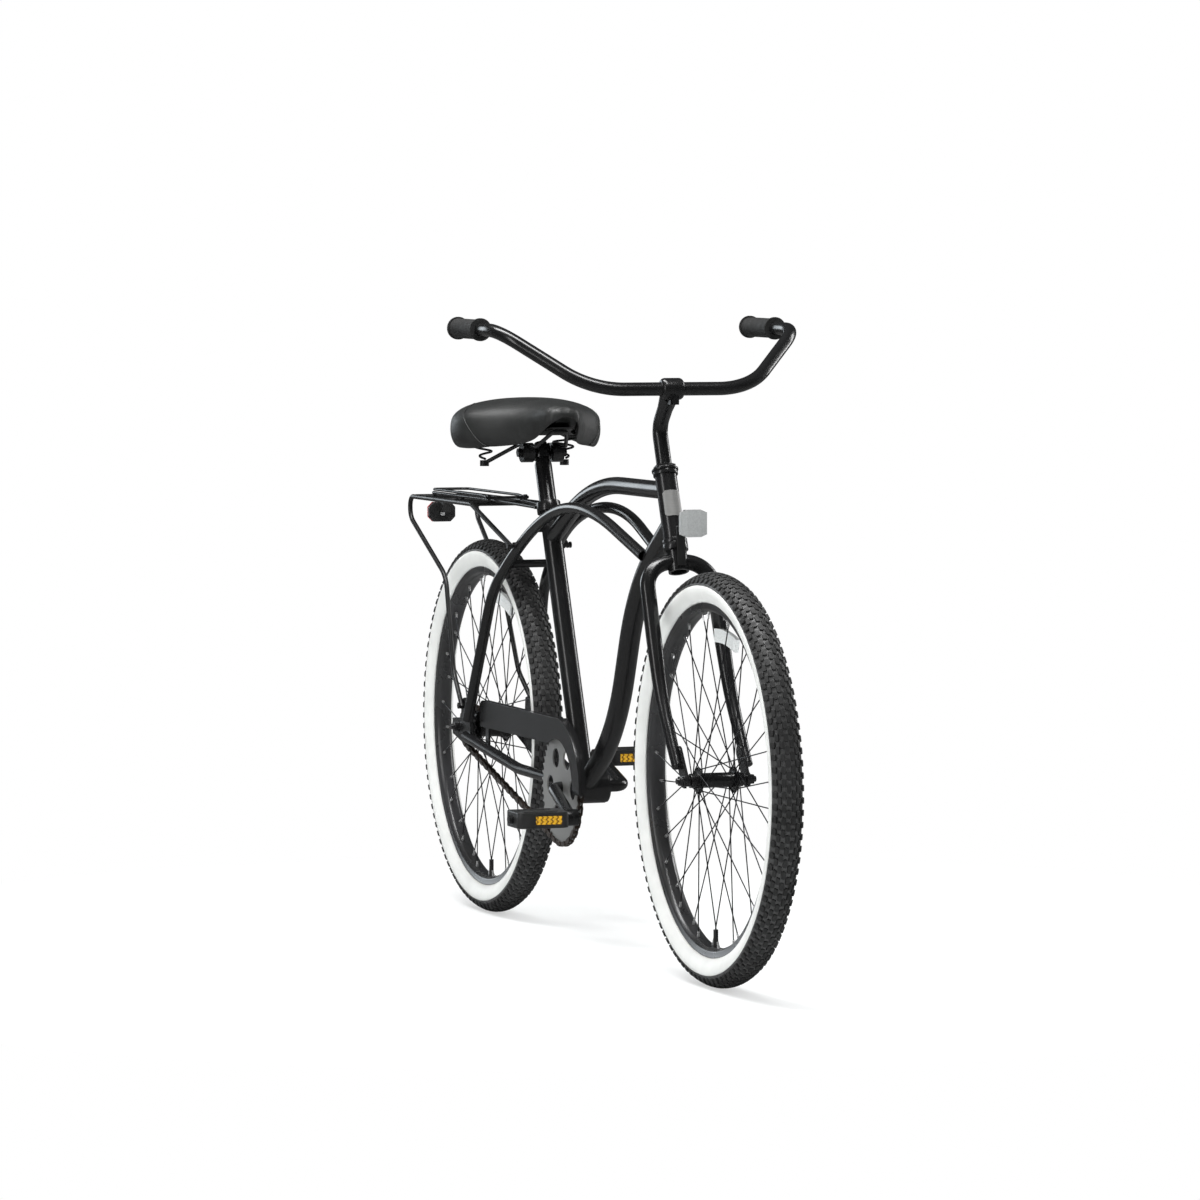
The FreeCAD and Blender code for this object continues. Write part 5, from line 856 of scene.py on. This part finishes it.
def make_floor():
    """Pale ground that fades to white away from the object: a painted white glow seen only by the camera,
    at half strength near the object, which paints its shadows lighter; in reflections it is painted dark.
    """
    mesh = bpy.data.meshes.new("floor")
    far = FLOOR_REACH
    mesh.from_pydata([(-far, -far, 0), (far, -far, 0), (far, far, 0), (-far, far, 0)], [], [(0, 1, 2, 3)])
    floor = bpy.data.objects.new("floor", mesh)
    bpy.context.scene.collection.objects.link(floor)
    shade = Shade("pale_floor", 0.9, specular=0.1)
    tree = shade.tree
    path = shade.node("ShaderNodeLightPath")
    pale = shade.ramp(shade.noise(scale=3, detail=3), *FLOOR_TONES)
    # in reflections the floor's colour is painted dark: painted shade standing in for dark surroundings
    tint = shade.node("ShaderNodeMixRGB", Fac=path.outputs["Is Glossy Ray"], Color1=pale,
                      Color2=(*grey(FLOOR_PAINTED_REFLECTION), 1))
    shade.colour(tint.outputs["Color"])
    away = shade.node("ShaderNodeVectorMath", Vector=shade.place)
    away.operation = "LENGTH"
    # to the camera the floor is mixed with a white glow: painted light that lightens its shadows near the
    # object and turns it plain white far off
    painted_glow_share = shade.spread(away.outputs["Value"], FLOOR_PAINTED_GLOW, 1.0, *FLOOR_FADE)
    white = shade.node("ShaderNodeEmission", Color=WHITE_LIGHT, Strength=1.0)
    mix = tree.nodes.new("ShaderNodeMixShader")
    tree.links.new(shade.math("MULTIPLY", painted_glow_share, path.outputs["Is Camera Ray"]), mix.inputs[0])
    tree.links.new(shade.shader.outputs["BSDF"], mix.inputs[1])
    tree.links.new(white.outputs["Emission"], mix.inputs[2])
    tree.links.new(mix.outputs["Shader"], tree.nodes["Material Output"].inputs["Surface"])
    mesh.materials.append(shade.done())


def make_world():
    """White to the camera, soft light all round, and a bright backdrop with dark flags for reflections."""
    world = bpy.data.worlds.new("studio")
    bpy.context.scene.world = world
    world.use_nodes = True
    tree = world.node_tree
    back = tree.nodes["Background"]
    path = tree.nodes.new("ShaderNodeLightPath")
    tint = tree.nodes.new("ShaderNodeMixRGB")
    tint.inputs["Color1"].default_value = WHITE_LIGHT
    tint.inputs["Color2"].default_value = BACKDROP_TINT
    tree.links.new(path.outputs["Is Glossy Ray"], tint.inputs["Fac"])
    tree.links.new(tint.outputs["Color"], back.inputs["Color"])

    def between(share, low, high):
        made = tree.nodes.new("ShaderNodeMapRange")
        for socket, value in (("Value", share), ("To Min", low), ("To Max", high)):
            feed(tree, made.inputs[socket], value)
        return made

    toward = tree.nodes.new("ShaderNodeVectorMath")
    toward.operation = "DOT_PRODUCT"
    tree.links.new(tree.nodes.new("ShaderNodeTexCoord").outputs["Generated"], toward.inputs[0])
    toward.inputs[1].default_value = BACKDROP_WAY
    mirrored = between(toward.outputs["Value"], *BACKDROP_MIRRORED)
    mirrored.inputs["From Min"].default_value, mirrored.inputs["From Max"].default_value = BACKDROP_EDGE
    unseen = between(path.outputs["Is Glossy Ray"], WORLD_LIGHT, mirrored.outputs["Result"])
    seen = between(path.outputs["Is Camera Ray"], unseen.outputs["Result"], 1.0)
    tree.links.new(seen.outputs["Result"], back.inputs["Strength"])


def make_camera():
    """The photograph's camera."""
    level = math.cos(CAMERA_PITCH)
    ahead = Vector((-math.cos(CAMERA_YAW) * level, math.sin(CAMERA_YAW) * level, -math.sin(CAMERA_PITCH)))
    right = Vector((math.sin(CAMERA_YAW), math.cos(CAMERA_YAW), 0))
    up = right.cross(ahead)
    data = bpy.data.cameras.new("camera")
    data.sensor_width = SENSOR_WIDTH
    data.lens = FOCAL_PIXELS / PHOTO_PIXELS * SENSOR_WIDTH
    data.clip_end = CAMERA_SEES
    camera = bpy.data.objects.new("camera", data)
    bpy.context.scene.collection.objects.link(camera)
    rows = [(right[axis], up[axis], -ahead[axis], CAMERA_PLACE[axis]) for axis in range(3)]
    camera.matrix_world = Matrix((*rows, (0, 0, 0, 1)))
    bpy.context.scene.camera = camera


make_floor()
make_world()
make_camera()
for light in LIGHTS:
    soft_light(*light)
bpy.context.scene.view_settings.view_transform = "Standard"
